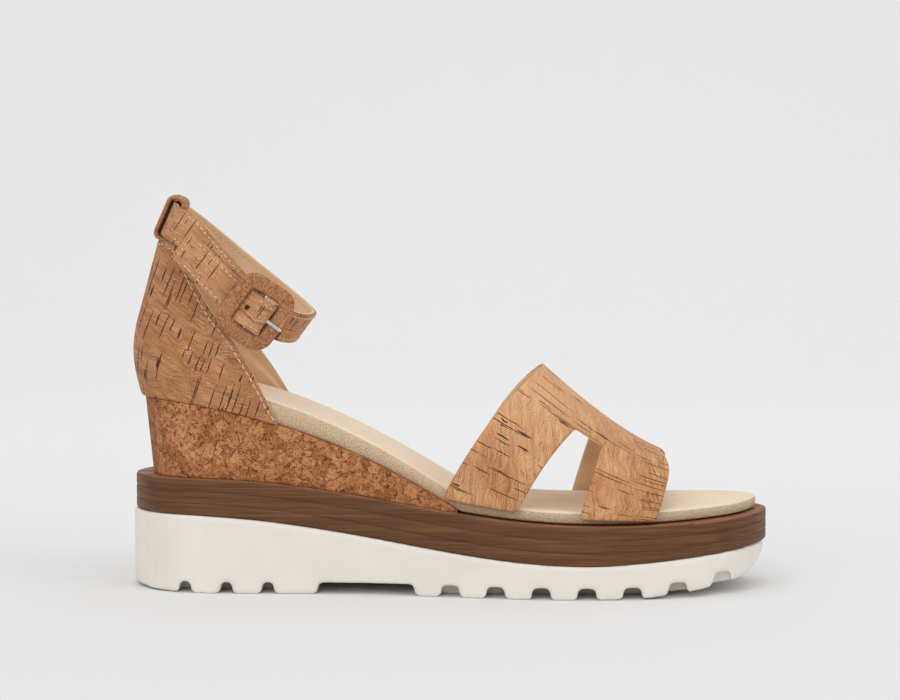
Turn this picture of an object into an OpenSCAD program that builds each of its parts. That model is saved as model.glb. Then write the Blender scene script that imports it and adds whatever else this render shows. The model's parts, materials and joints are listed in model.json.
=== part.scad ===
// Wedge sandal, right foot. Millimetres. +X points to the toe, -Y to the outside of the foot, +Z up.
// The origin is on the ground, under the centre of the heel.

/* [Bottom unit] */
// Length of the platform from the back of the heel to the toe
platform_length = 252.5; // [245:0.5:260]
// Height of the white outsole at the heel
outsole_heel_height = 30.8; // [28:0.1:34]
// Height of the white outsole under the ball of the foot
outsole_ball_height = 12.9; // [11:0.1:15]
// Height of the top of the brown midsole at the heel
midsole_heel_height = 45; // [42:0.1:48]
// Height of the top of the brown midsole under the ball
midsole_ball_height = 28.3; // [26:0.1:31]
// Height of the cork wedge at the back of the heel
wedge_heel_height = 76; // [70:0.5:82]
// Height of the moulded lugs
lug_height = 4.5; // [3:0.1:6]

/* [Footbed] */
// Distance of the footbed's side from the platform's side
footbed_inset = 4.2; // [3.5:0.1:5]
// Thickness of the padded footbed at the heel
footbed_heel = 9; // [7:0.1:11]
// Thickness of the padded footbed at the toe
footbed_toe = 4.8; // [4:0.1:7]

/* [Upper] */
// Thickness of the cork fabric
cork_fabric = 1.1; // [0.8:0.1:1.4]
// Thickness of the lining leather
lining = 1; // [0.8:0.1:1.2]
// Height of the counter's top edge at the back
counter_top = 138; // [130:0.5:142]

/* [Ankle strap] */
// Width of the ankle strap
strap_width = 13.6; // [12:0.1:15]
// Slope of the ankle strap below horizontal, in degrees
strap_slope = 36.5; // [30:0.5:42]
// Length of the strap's ring from the heel loop to the front of the ankle
ring_length = 68.4; // [66:0.2:76]
// Width of the strap's ring across the ankle
ring_width = 55; // [54:1:60]

/* [Hidden] */

gap = 0.05;                    // space between parts that lie on each other
far = 400;                     // longer than the sandal, for cutting solids
toe_x = platform_length - 35;  // the back of the platform is 35 mm behind the origin
heel_x = -35;
step_x = 6;                    // spacing of the side profiles' points

// ---------- curves shared by the parts ----------

function smooth(t) = let(c = min(1, max(0, t))) c * c * (3 - 2 * c);
function mix(a, b, t) = a + (b - a) * t;

// A half cosine that falls from 1 at x0 to 0 at x1, flat outside them
function fall(x, x0, x1) = 0.5 + 0.5 * cos(180 * min(1, max(0, (x - x0) / (x1 - x0))));

// Side profiles: the height of each layer's top along the sandal
ball_x = 148;
function outsole_top(x) = outsole_ball_height
    + (outsole_heel_height - outsole_ball_height) * fall(x, -20, ball_x)
    + 5.5 * pow(max(0, x - ball_x) / 67, 1.3);
function midsole_top(x) = midsole_ball_height
    + (midsole_heel_height - midsole_ball_height) * fall(x, -12, ball_x)
    + 2.9 * pow(max(0, x - ball_x) / 70, 2);
wedge_end = 95;                // the wedge runs out to a thin edge here
function wedge_curve(x) = wedge_heel_height
    - (wedge_heel_height - midsole_top(wedge_end) - 1.1) * pow(max(0, x - heel_x) / 130, 1.85);
function ground_line(x) = 8.6 * pow(max(0, x - 152) / 65, 2)
    + 8 * pow(max(0, x - 205) / 12.5, 2.4)
    + 1.6 * pow(max(0, -10 - x) / 25, 2);

// The underside of everything that the foot rests on
function seat(x) = max(wedge_curve(x), midsole_top(x) + 0.5);
function footbed_depth(x) = mix(footbed_toe, footbed_heel, fall(x, 10, 130));
function footbed_top(x) = seat(x) + footbed_depth(x);

// The platform's outline, as half widths on the outside (-Y) and the inside (+Y) of the foot
outline_knots = [
    [-35, 0], [-27, -21], [-8, -31.5], [25, -32.5], [60, -33.5], [92, -39], [120, -44.5], [146, -46],
    [172, -42.5], [194, -33], [209.5, -18.5], [217.5, 2], [212.5, 19.5], [197, 33], [174, 41], [148, 42.5],
    [120, 38], [90, 31.5], [58, 29.5], [25, 31.5], [-8, 31.5], [-27, 21]
];
// A closed Catmull-Rom curve through knots
function knot(k, i) = k[(i + len(k)) % len(k)];
function on_curve(k, i, t) =
    let(a = knot(k, i - 1), b = knot(k, i), c = knot(k, i + 1), d = knot(k, i + 2))
    0.5 * (2 * b + (c - a) * t + (2 * a - 5 * b + 4 * c - d) * t * t + (3 * b - a - 3 * c + d) * t * t * t);
function closed_curve(k, steps) =
    [for (i = [0 : len(k) - 1]) for (s = [0 : steps - 1]) on_curve(k, i, s / steps)];

// The outline scaled in x to the platform's length
function fit_length(p) = [heel_x + (p.x - heel_x) * platform_length / 252.5, p.y];
platform_outline = [for (p = closed_curve(outline_knots, 4)) fit_length(p)];

function unit(v) = v / norm(v);
// A closed outline moved inwards by d. The outline turns counter-clockwise seen from above.
function inset(pts, d) =
    [for (i = [0 : len(pts) - 1])
        let(t = unit(knot(pts, i + 1) - knot(pts, i - 1)))
        pts[i] + d * [-t.y, t.x]];

module prism(outline, low = -20, high = 200)
    translate([0, 0, low]) linear_extrude(high - low) polygon(outline);

// Everything between two height functions of x, for x from x0 to x1
module between(low, high, x0 = heel_x - 10, x1 = toe_x + 10, step = step_x) {
    n = ceil((x1 - x0) / step);
    xs = [for (i = [0 : n]) mix(x0, x1, i / n)];
    translate([0, far / 2, 0]) rotate([90, 0, 0]) linear_extrude(far)
        polygon(concat([for (x = xs) [x, low(x)]], [for (i = [n : -1 : 0]) [xs[i], high(xs[i])]]));
}

// ---------- bottom unit ----------

heel_notches = [-12.2, 4.2, 20.6];
ball_notches = [for (i = [0 : 6]) 92.5 + 17.7 * i];
notch_depth = 9;               // from the side of the sole at its widest
notch_sides = [29, 40, 33];    // half the sole's width at the heel, the ball and the toe
lug_flare = 1.2;               // the lugs' corners are cut off by this much

// The room between two lugs, seen from the side: narrower at its top and flared at the ground
module lug_room(x0, x1)
    polygon([[x0 - lug_flare, -1], [x0 - lug_flare, 0], [x0, lug_flare], [x0, lug_height - lug_flare],
        [x0 + lug_flare, lug_height], [x1 - lug_flare, lug_height], [x1, lug_height - lug_flare],
        [x1, lug_flare], [x1 + lug_flare, 0], [x1 + lug_flare, -1]]);
module side_notch(x, width, half_sole)
    for (side = [0, 1])
        mirror([0, side, 0]) translate([x, notch_depth - half_sole, ground_line(x)])
            rotate([90, 0, 0]) linear_extrude(far) lug_room(-width / 2, width / 2);

// The sole stands out a little from the midsole, except round the toe
outsole_flare = 0.8;
outsole_toe = 1.8;             // the toe is drawn back by this much
outsole_outline = [for (p = inset(platform_outline, -outsole_flare))
    [p.x - outsole_toe * smooth((p.x - 185) / 30), p.y]];

module outsole() color("ivory") difference() {
    intersection() {
        prism(outsole_outline);
        between(function(x) min(ground_line(x), outsole_top(x) - 2), function(x) outsole_top(x), step = 3);
    }
    for (x = heel_notches) side_notch(x, 4.6, notch_sides[0]);
    for (x = ball_notches) side_notch(x, 7, x < 190 ? notch_sides[1] : notch_sides[2]);
    // the raised arch between the heel and the ball
    translate([0, far / 2, 0]) rotate([90, 0, 0]) linear_extrude(far) lug_room(40.2, 78.4);
}

module midsole() color("saddlebrown") intersection() {
    prism(platform_outline);
    between(function(x) outsole_top(x) + gap, function(x) midsole_top(x));
}

// Inside the platform: the shank lies in a slot in the wedge's top, under the board
board = 2.2;
shank_size = [100, 12, 1.4];
shank_x = 6;                   // where the shank starts
function board_top(x) = seat(x) + board;

// The back of the wedge slopes inwards to the midsole, as places along the sandal and heights
wedge_back = [[heel_x + 3.3, 78], [heel_x + 6.6, 44]];
module cork_wedge() color("peru") difference() {
    intersection() {
        prism(inset(platform_outline, footbed_inset - 0.4));
        translate([0, far / 2, 0]) rotate([90, 0, 0]) linear_extrude(far)
            polygon(concat(wedge_back, [[far, 0], [far, far]]));
        between(function(x) midsole_top(x) + gap, function(x) wedge_curve(x), x1 = wedge_end);
    }
    shank_band(0.1);
    nail_holes(nail_r, nail_length + gap);
}

module shank_band(room)
    intersection() {
        translate([shank_x - room, -shank_size.y / 2 - room, 0])
            cube([shank_size.x - 25 + 2 * room, shank_size.y + 2 * room, far]);
        between(function(x) wedge_curve(x) - shank_size.z - room,
            function(x) wedge_curve(x) + (room > 0 ? 1 : 0));
    }

module shank() color("silver") shank_band(0);

nail_r = 0.9;
nail_head = [2.2, 1];          // radius and thickness
nail_length = 14;
nail_places = concat([for (a = [-120, -60, 60, 120]) [17 * cos(a) - 8, 17 * sin(a)]], [[-24, 0]]);
// The board slopes, so a nail's head is driven in until its front edge is level with the board
function nail_top(p) = board_top(p.x + nail_head[0]) - gap;
module nail_holes(r, depth)
    for (p = nail_places)
        translate([p.x, p.y, nail_top(p) - depth]) cylinder(r = r + 0.02, h = far, $fn = 24);

module heel_nails() color("gray")
    for (p = nail_places) translate([p.x, p.y, nail_top(p)]) {
        translate([0, 0, -nail_length]) cylinder(r = nail_r, h = nail_length, $fn = 24);
        translate([0, 0, -nail_head[1]]) cylinder(r = nail_head[0], h = nail_head[1], $fn = 24);
    }

// The upper's edges are folded under the board, so the board is smaller than the footbed
fold = 3.6;
module insole_board() color("tan") difference() {
    intersection() {
        prism(inset(platform_outline, footbed_inset + fold));
        between(function(x) seat(x) + gap, function(x) board_top(x));
    }
    nail_holes(nail_r, nail_length);
    nail_holes(nail_head[0], nail_head[1] + gap);
}

// Fills the step between the midsole and the board, where the wedge has run out
module forefoot_filler() color("burlywood") intersection() {
    prism(inset(platform_outline, footbed_inset + fold + 1));
    between(function(x) midsole_top(x) + 2 * gap, function(x) seat(x) - gap, x0 = wedge_end + 6);
}

// ---------- footbed ----------

cover = 1.2;                   // the sueded cover's thickness
toe_reach = 2.2;               // no upper stands beside the toe, so the footbed reaches further there
footbed_outline = [for (p = inset(platform_outline, footbed_inset + cork_fabric + lining + 0.3))
    [p.x + toe_reach * smooth((p.x - 182) / 22), p.y]];
cushion_r = 20;
cushion_depth = 3;
module footbed_body(shrink, low, high) intersection() {
    prism(inset(platform_outline, footbed_inset + shrink));
    between(low, high);
}

module footbed_foam() color("linen") difference() {
    footbed_body(cover + fold + 0.2,
        function(x) board_top(x) + gap, function(x) footbed_top(x) - cover - gap);
    intersection() {
        translate([-4, 0, 0]) cylinder(r = cushion_r + 0.1, h = far, $fn = 72);
        between(function(x) footbed_top(x) - cover - cushion_depth - 0.1, function(x) far);
    }
}

module heel_cushion() color("lightsteelblue") intersection() {
    translate([-4, 0, 0]) cylinder(r = cushion_r, h = far, $fn = 72);
    between(function(x) footbed_top(x) - cover - cushion_depth,
        function(x) footbed_top(x) - cover - gap);
}

// The sueded cover wraps the footbed's top and its side, and is turned in against the board
module footbed_cover() color("wheat") difference() {
    intersection() {
        prism(footbed_outline);
        prism(heel_room);
        between(function(x) seat(x) + gap, function(x) footbed_top(x));
    }
    footbed_body(cover + fold + 0.1, function(x) board_top(x) - far, function(x) footbed_top(x) - cover);
    footbed_body(fold - 0.1, function(x) seat(x) - far, function(x) board_top(x) + gap);
}

// ---------- sheets of material ----------

// A closed solid between two grids of points. keep(i, j) says which cells of the grid hold material.
module sheet(outer, inner, keep = function(i, j) true) {
    rows = len(outer) - 1;
    cols = len(outer[0]) - 1;
    count = (rows + 1) * (cols + 1);
    points = concat([for (r = outer) each r], [for (r = inner) each r]);
    o = function(i, j) i * (cols + 1) + j;
    n = function(i, j) count + i * (cols + 1) + j;
    has = function(i, j) i >= 0 && j >= 0 && i < rows && j < cols && keep(i, j);
    two = function(a, b, c, d) [[a, b, c], [a, c, d]];
    faces = [for (i = [0 : rows - 1]) for (j = [0 : cols - 1]) if (has(i, j))
        each concat(
            two(o(i, j), o(i, j + 1), o(i + 1, j + 1), o(i + 1, j)),
            two(n(i, j), n(i + 1, j), n(i + 1, j + 1), n(i, j + 1)),
            has(i - 1, j) ? [] : two(o(i, j), n(i, j), n(i, j + 1), o(i, j + 1)),
            has(i + 1, j) ? [] : two(o(i + 1, j), o(i + 1, j + 1), n(i + 1, j + 1), n(i + 1, j)),
            has(i, j - 1) ? [] : two(o(i, j), o(i + 1, j), n(i + 1, j), n(i, j)),
            has(i, j + 1) ? [] : two(o(i, j + 1), n(i, j + 1), n(i + 1, j + 1), o(i + 1, j + 1))
        )];
    polyhedron(points, faces, convexity = 6);
}

// ---------- vamp ----------

// The arch over the forefoot is a superellipse at each x.
// b is 0 at the outside of the foot, 90 on top and 180 at the inside.
arch_power = 2 / 2.3;
vamp_peak_x = 128;
vamp_front_x = 180;
function instep(x) = x < vamp_peak_x
    ? 88.6 + 0.75 * (vamp_peak_x - x)
    : 53 + 35.6 * pow((vamp_front_x - x) / 52, 1.35);
function half_width(x, side) =
    let(p = [for (q = platform_outline) if (q.y * side > 0) q],
        near = [for (i = [1 : len(p) - 1]) if ((p[i - 1].x - x) * (p[i].x - x) <= 0) i],
        i = near[0], t = (x - p[i - 1].x) / (p[i].x - p[i - 1].x))
    abs(mix(p[i - 1].y, p[i].y, t));
function vamp_point(x, b, d) =
    let(side = b < 90 ? -1 : 1,
        c = pow(abs(cos(b)), arch_power), s = pow(sin(b), arch_power),
        low = midsole_top(x) + gap,
        w = half_width(x, side) - footbed_inset + 1.6,
        n = unit([c / w, s / (instep(x) - low)]))
    [x, side * (w * c - d * n.x), low + (instep(x) - low) * s - d * n.y];

// The four edges across the vamp: back edge, cut-out's back and front, and front edge
function up(b) = sin(min(b, 180 - b));
vamp_skew = 3.5;               // the inside's back edge starts this much further forward
leg_skew = 3;                  // and its front leg starts this much further back
function vamp_edges(b) = [
    87 + 41 * pow(up(b), 0.9) + (b > 90 ? vamp_skew * (1 - up(b)) : 0),
    116.5 + 22.5 * pow(up(b) / 0.67, 0.85),
    141.5 + 10.5 * pow(up(b) / 0.787, 0.8) - (b > 90 ? leg_skew : 0),
    171.5 + 7.8 * pow(up(b), 0.7) - 4 * pow(up(b), 12)
];
legs = [5, 3, 5];              // grid cells in the back leg, the cut-out and the front leg
cut_out_b = 48;                // the cut-outs reach this far up each side
foot_b = 2;                    // the legs start here, just above the midsole
vamp_bs = concat(
    [for (i = [0 : 6]) mix(foot_b, cut_out_b, i / 6)],
    [for (i = [1 : 9]) mix(cut_out_b, 180 - cut_out_b, i / 10)],
    [for (i = [0 : 6]) mix(180 - cut_out_b, 180 - foot_b, i / 6)]);
function vamp_x(b, k) =
    let(e = vamp_edges(b),
        span = k < legs[0] ? 0 : k < legs[0] + legs[1] ? 1 : 2,
        start = [0, legs[0], legs[0] + legs[1]][span])
    mix(e[span], e[span + 1], (k - start) / legs[span]);
vamp_cells = legs[0] + legs[1] + legs[2];
// Above the cut-outs the grid's columns spread evenly from the back edge to the front edge
function above_cut_out(b, k) =
    let(e = vamp_edges(b), c = vamp_edges(cut_out_b), f = k / vamp_cells)
    mix(vamp_x(cut_out_b, k) + mix(e[0] - c[0], e[3] - c[3], f), mix(e[0], e[3], f),
        smooth((up(b) - sin(cut_out_b)) / (1 - sin(cut_out_b))));
function column_x(b, k) = min(b, 180 - b) > cut_out_b ? above_cut_out(b, k) : vamp_x(b, k);
function vamp_grid(d) = [for (k = [0 : vamp_cells]) [for (b = vamp_bs) vamp_point(column_x(b, k), b, d)]];
function vamp_keeps(k, j) = k < legs[0] || k >= legs[0] + legs[1] || (j >= 6 && j < len(vamp_bs) - 7);

module vamp_layer(d0, d1) sheet(vamp_grid(d0), vamp_grid(d1), function(k, j) vamp_keeps(k, j));
module vamp_cover() color("burlywood") vamp_layer(0, cork_fabric);
module vamp_lining() color("wheat") vamp_layer(cork_fabric + gap, cork_fabric + gap + lining);

// ---------- heel counter ----------

// Follows the heel's outline from the outside, round the back, to the inside
counter_front = [24, 28];      // how far forward the counter runs, outside and inside
counter_columns = 30;
counter_rows = 10;
function base_at(c) =          // c is 0 at the outside's front end and 1 at the inside's
    let(side = c < 0.5 ? -1 : 1,
        a = abs(2 * c - 1),                       // 1 at the front ends, 0 at the back
        front = counter_front[side < 0 ? 0 : 1],
        x = mix(-32.6, front, 1 - cos(a * 90)),
        w = half_heel(x))
    [x, side * w];
// Half width of the counter's base: a superellipse round the heel that runs into straight sides
function half_heel(x) = 29.6 * pow(1 - pow(max(0, 1 - (x + 32.6) / 40), 2.2), 1 / 2.2);
function base_normal(c) =
    let(t = unit(base_at(min(1, c + 0.01)) - base_at(max(0, c - 0.01))))
    [-t.y, t.x];
function top_line(x, side) =
    let(front = counter_front[side < 0 ? 0 : 1])
    min(counter_top, 66 + 35 * (1 - pow(max(x, 0) / front, 1.5)) + 0.85 * (sqrt(x * x + 49) - x));
// How far the counter stands out at height h: it swells over the heel bone, then leans in
function bulge_back(h) = h < 36 ? 3.3 * sin(5 * h) : -0.27 * (h - 36);
function bulge_side(h) = 1.6 * sin(min(180, 5 * h)) - 0.16 * h;
function counter_point(c, v, d) =
    let(side = c < 0.5 ? -1 : 1, p = base_at(c), n = base_normal(c),
        z0 = wedge_curve(p.x) + gap,
        z1 = top_line(p.x + 6 * n.x * n.x, side),
        z = mix(z0, z1, v), h = z - z0,
        out = n.x * n.x * bulge_back(h) + n.y * n.y * bulge_side(h) - d)
    [p.x + out * n.x, p.y + out * n.y, z];
function counter_grid(d, rows = counter_rows, top = 1) =
    [for (i = [0 : rows]) [for (j = [0 : counter_columns])
        let(v = top * i / rows) counter_point(j / counter_columns, v, d(v))]];

stiffener = 1;
stiffener_top = 0.6;           // share of the counter's height
// The room inside the counter at the footbed, open towards the toe
upper_depth = cork_fabric + stiffener + lining + 0.6;
heel_room = concat(
    [for (j = [0 : counter_columns])
        let(c = j / counter_columns) base_at(c) - upper_depth * base_normal(c)],
    [[counter_front[1], far / 2], [far, far / 2], [far, -far / 2], [counter_front[0], -far / 2]]);
function pocket(v) = (stiffener + gap) * (1 - smooth((v - stiffener_top) / 0.15));
module counter_cover() color("burlywood")
    sheet(counter_grid(function(v) 0), counter_grid(function(v) cork_fabric));
module counter_stiffener() color("whitesmoke")
    sheet(counter_grid(function(v) cork_fabric + gap, 6, stiffener_top),
        counter_grid(function(v) cork_fabric + stiffener, 6, stiffener_top));
module counter_lining() color("wheat")
    sheet(counter_grid(function(v) cork_fabric + gap + pocket(v)),
        counter_grid(function(v) cork_fabric + gap + pocket(v) + lining));

// ---------- ankle strap ----------

// The strap's own frame: u runs from the heel loop to the front, w is up across the strap's width
loop_place = [-20.5, 0, 146.5];
module strap_frame() translate(loop_place) rotate([0, strap_slope, 0]) children();

// The ring is a superellipse: th is 0 at the back, 90 outside, 180 in front and 270 inside
ring_power = 2.8;
ring_a = ring_length / 2;
ring_b = ring_width / 2;
function signed_pow(v, e) = sign(v) * pow(abs(v), e);
function ring_at(th) = [
    ring_a * (1 - signed_pow(cos(th), 2 / ring_power)),
    -ring_b * signed_pow(sin(th), 2 / ring_power)
];
function ring_normal(th) =
    let(p = ring_at(th))
    unit([signed_pow(p.x / ring_a - 1, ring_power - 1) / ring_a,
        signed_pow(p.y / ring_b, ring_power - 1) / ring_b]);
// The outside's th at a distance u along the ring
function th_at(u) = acos(signed_pow(1 - u / ring_a, ring_power / 2));

buckle_u = 49.8;               // where the buckle's bar is
buckle_w = -7.1;               // the buckle hangs this far below the ring's plane
window_w = -7.5;               // the strap lies low in the buckle's window
window_drop = window_w - buckle_w;
front_w = -3.4;
buckle_th = th_at(buckle_u);
loop_th = 15;                  // the strap leaves the heel loop here
tip_u = 12.3;                  // where the free end of the strap stops
front_th = 147;                // where the free end becomes the long strap

function long_w(th) = th < 180
    ? mix(window_w, front_w, smooth((th - buckle_th) / (180 - buckle_th)))
    : front_w * (1 - pow(1 - ring_at(th).x / ring_length, 2.2));
function buckle_strap_w(th) = let(u = ring_at(th).x) 1.4 * smooth(u / 9) - 0.215 * max(0, u - 12);
function tip_w(th) = let(u = ring_at(th).x)
    u > buckle_u ? long_w(th) : mix(-3.2, window_w, smooth((u - 6) / (buckle_u - 10)));

// The strap leans back with the heel behind the ankle
back_lean = 13;
function lean(th) = back_lean * (1 - smooth(min(abs(th), 360 - th) / 70));

strap = cork_fabric + lining;
half = strap / 2;
// Distances of a strap's middle from the ring, measured outwards
bar_out = 3.3;                 // the buckle's bar
tab_out = strap + 0.15;        // the free end, where it lies on the buckle strap
over_out = 5.68;               // the free end, where it passes over the bar
under_out = -0.65;             // the free end, where it passes under the buckle's front

// A path runs along the middle of a strap. Each point holds its u, its y, its w and its lean.
function on_ring(th, lift, w) =
    let(p = ring_at(th) + ring_normal(th) * lift)
    [p.x, p.y, w, lean(th)];
function path_normal(path, i) =
    let(a = path[max(0, i - 1)], b = path[min(len(path) - 1, i + 1)], d = unit([b.x - a.x, b.y - a.y]))
    [d.y, -d.x];
// A band of the strap along a path, from t0 to t1 outwards of the middle
module band(path, t0, t1) {
    point = function(i, t, side)
        let(h = side * strap_width / 2, q = path[i],
            p = [q.x, q.y] + path_normal(path, i) * (t + h * sin(q[3])))
        [p.x, p.y, q.z + h * cos(q[3])];
    steps = [0 : len(path) - 1];
    sheet([for (side = [1, -1]) [for (i = steps) point(i, t1, side)]],
        [for (side = [1, -1]) [for (i = steps) point(i, t0, side)]]);
}
function stations(a, b, count) = [for (i = [0 : count]) mix(a, b, i / count)];

// Cover outside, lining inside
module cover_band(path) band(path, -half + lining + 0.02, half);
module lining_band(path) band(path, -half, -half + lining);

back_path = [for (th = stations(-loop_th, loop_th, 8)) on_ring(th, 0, 0)];
module strap_back_cover() color("burlywood") strap_frame() cover_band(back_path);
module strap_back_lining() color("wheat") strap_frame() lining_band(back_path);

hinge_gap = 3.2;               // in degrees of th: the space where the strap bends at the heel loop
long_path = [for (th = stations(front_th, 360 - loop_th - hinge_gap, 40)) on_ring(th, 0, long_w(th))];
module long_strap_cover() color("burlywood") strap_frame() cover_band(long_path);
module long_strap_lining() color("wheat") strap_frame() lining_band(long_path);

// The buckle strap rises to the buckle's bar and ends in an eye round it, slotted for the prong
bar_r = 0.7;
eye_r = 1.25;
prong_width = 2.4;
function buckle_strap_lift(x) = 2.25 * smooth((x + 7) / 6);
buckle_strap_path = concat(
    [for (th = stations(loop_th + hinge_gap, th_at(22), 16)) on_ring(th, 0, buckle_strap_w(th))],
    [for (x = stations(22 - buckle_u, -0.5, 22)) if (x > 22.5 - buckle_u)
        let(th = th_at(buckle_u + x)) on_ring(th, buckle_strap_lift(x), buckle_strap_w(th))]);
module eye_cuts(r) bar_frame() {
    translate([0, -bar_out, 0]) cylinder(r = r, h = far, center = true, $fn = 48);
    translate([-eye_r - 1.4, -12, window_drop - prong_width / 2 - 0.3]) cube([12, 16, prong_width + 0.6]);
}
module buckle_strap_cover() color("burlywood") strap_frame() difference() {
    union() {
        cover_band(buckle_strap_path);
        bar_frame() translate([0, -bar_out, 0])
            cylinder(r = eye_r, h = strap_width, center = true, $fn = 48);
    }
    eye_cuts(bar_r + 0.05);
}
module buckle_strap_lining() color("wheat") strap_frame() difference() {
    lining_band(buckle_strap_path);
    eye_cuts(eye_r + 0.03);
}

// The free end passes under the buckle's front, turns up steeply, goes over the bar
// and comes out under the buckle's back
tip_profile = [
    [-6.4, 2.4], [-5.6, 2.95], [-4.7, 3.75], [-3.7, 4.6], [-2.6, 5.27], [-1.4, over_out - 0.1],
    [0, over_out], [1.5, over_out], [2.6, over_out],
    [3.3, 5.5], [3.8, 5.05], [4.15, 4.3], [4.35, 3.2], [4.45, 2.1], [4.75, 1], [5.45, 0.1], [6.5, -0.5],
    [8, under_out], [10, under_out], [11.5, under_out]
];
tip_path = concat(
    [for (u = stations(tip_u, buckle_u - 7.4, 18)) let(th = th_at(u)) on_ring(th, tab_out, tip_w(th))],
    [for (p = tip_profile) let(th = th_at(buckle_u + p.x)) on_ring(th, p.y, tip_w(th))],
    [for (th = stations(th_at(buckle_u + 12.2), front_th - 0.4, 8))
        on_ring(th, under_out * (1 - smooth((th - th_at(buckle_u + 12)) / 9)), tip_w(th))]);
hole_r = 1.1;
hole_pitch = 6.2;
module tip_holes()
    for (x = [2.4, 2.4 - hole_pitch])
        bar_frame() translate([x, 0, window_drop]) rotate([90, 0, 0]) cylinder(r = hole_r, h = 12, $fn = 32);
module tip_part() difference() {
    children();
    tip_holes();
    bar_frame() prong_shaft(prong_r + 0.25);
}
module strap_tip_cover() color("burlywood") strap_frame() tip_part() cover_band(tip_path);
module strap_tip_lining() color("wheat") strap_frame() tip_part() lining_band(tip_path);

// ---------- heel loop ----------

// A tunnel of cork fabric at the back of the counter, with room for the strap to tilt
loop_width = 17;
loop_room = [4.2, 15.2];
loop_skin = 1;
loop_shift = 0.2;
module rounded(size, r)
    union() {
        square([size.x - 2 * r, size.y], center = true);
        square([size.x, size.y - 2 * r], center = true);
        for (x = [-1, 1]) for (y = [-1, 1])
            translate([x * (size.x / 2 - r), y * (size.y / 2 - r)]) circle(r = r, $fn = 32);
    }
// The loop is sewn to the counter's top edge through a narrow foot
loop_foot = [1.8, 14, 1.6];
module heel_loop() color("burlywood") {
    strap_frame() rotate([0, -back_lean, 0]) translate([loop_shift, 0, 0])
        rotate([90, 0, 0]) linear_extrude(loop_width, center = true) difference() {
            rounded([loop_room.x + 2 * loop_skin, loop_room.y + 2 * loop_skin], 2.6);
            rounded(loop_room, 1.4);
        }
    translate([-25.6, -loop_foot.y / 2, counter_top + gap]) cube(loop_foot);
}

// ---------- buckle ----------

// The buckle's frame: x along the strap to the front, -y outwards, z across the strap
function tangent_angle(th) = let(n = ring_normal(th)) atan2(n.y, n.x) + 90;
module bar_frame()
    translate([ring_at(buckle_th).x, ring_at(buckle_th).y, buckle_w])
        rotate([0, 0, tangent_angle(buckle_th)]) children();

frame_size = [25.9, 27.4];     // along the strap and across it
frame_corner = 4.4;            // radius of the middle of a rounded corner
frame_tilt = 8.6;              // the front of the buckle lies lower than its back
wrap_section = [6.2, 2.8];
core_section = [4, 1.5];
bar_length = 21.2;

module stadium(s) union() {
    square([s.x - s.y, s.y], center = true);
    for (x = [-1, 1]) translate([x * (s.x - s.y) / 2, 0]) circle(d = s.y, $fn = 40);
}
// A rounded rectangular ring of the given section, whose outside is frame_size with the wrap on
module frame_ring(section) {
    mid = [frame_size.x - wrap_section.x, frame_size.y - wrap_section.x];
    straight = [mid.x - 2 * frame_corner, mid.y - 2 * frame_corner];
    for (side = [-1, 1]) {
        translate([side * mid.x / 2, 0, 0]) rotate([90, 0, 0])
            linear_extrude(straight.y, center = true) stadium(section);
        translate([0, side * mid.y / 2, 0]) rotate([0, 0, 90]) rotate([90, 0, 0])
            linear_extrude(straight.x, center = true) stadium(section);
    }
    for (i = [0 : 3]) let(sx = [1, -1, -1, 1][i], sy = [1, 1, -1, -1][i])
        translate([sx * straight.x / 2, sy * straight.y / 2, 0]) rotate([0, 0, 90 * i])
            rotate_extrude(angle = 90, $fn = 48) translate([frame_corner, 0]) stadium(section);
}
module buckle_ring(section)
    translate([0, -bar_out, 0]) rotate([0, 0, frame_tilt]) rotate([90, 0, 0]) frame_ring(section);
module bar_hole(r) translate([0, -bar_out, 0])
    cylinder(r = r, h = bar_length + 0.4, center = true, $fn = 48);

module buckle_frame() color("silver") strap_frame() bar_frame() difference() {
    buckle_ring(core_section);
    bar_hole(bar_r + 0.03);
}
module buckle_wrap() color("burlywood") strap_frame() bar_frame() difference() {
    buckle_ring(wrap_section);
    buckle_ring([core_section.x + 2 * gap, core_section.y + 2 * gap]);
    bar_hole(bar_r + 0.03);
}
module buckle_bar() color("silver") strap_frame() bar_frame()
    translate([0, -bar_out, 0]) cylinder(r = bar_r, h = bar_length, center = true, $fn = 48);

// The prong runs straight from its eye on the bar and rests on the buckle's front
prong_r = 0.8;
prong_start = [0.85, 3.7];     // along the strap and outwards
prong_end = [12, 4.72];
prong_point = 0.8;             // length of the tapered point
module prong_shaft(r) {
    run = prong_end - prong_start;
    translate([prong_start.x, -prong_start.y, window_drop])
        rotate([0, 0, -atan2(run.y, run.x)]) rotate([0, 90, 0]) {
            cylinder(r = r, h = norm(run), $fn = 40);
            translate([0, 0, norm(run)]) cylinder(r1 = r, r2 = r / 2, h = prong_point, $fn = 40);
        }
}
module buckle_prong() color("gainsboro") strap_frame() bar_frame() difference() {
    union() {
        translate([0, -bar_out, window_drop]) cylinder(r = eye_r, h = prong_width, center = true, $fn = 48);
        prong_shaft(prong_r);
    }
    translate([0, -bar_out, 0]) cylinder(r = bar_r + 0.05, h = far, center = true, $fn = 48);
}

// ---------- output ----------

outsole();
midsole();
cork_wedge();
shank();
insole_board();
heel_nails();
forefoot_filler();
footbed_foam();
heel_cushion();
footbed_cover();
vamp_cover();
vamp_lining();
counter_cover();
counter_stiffener();
counter_lining();
heel_loop();
strap_back_cover();
strap_back_lining();
buckle_strap_cover();
buckle_strap_lining();
long_strap_cover();
long_strap_lining();
strap_tip_cover();
strap_tip_lining();
buckle_frame();
buckle_wrap();
buckle_bar();
buckle_prong();
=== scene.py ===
import json
import math

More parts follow.
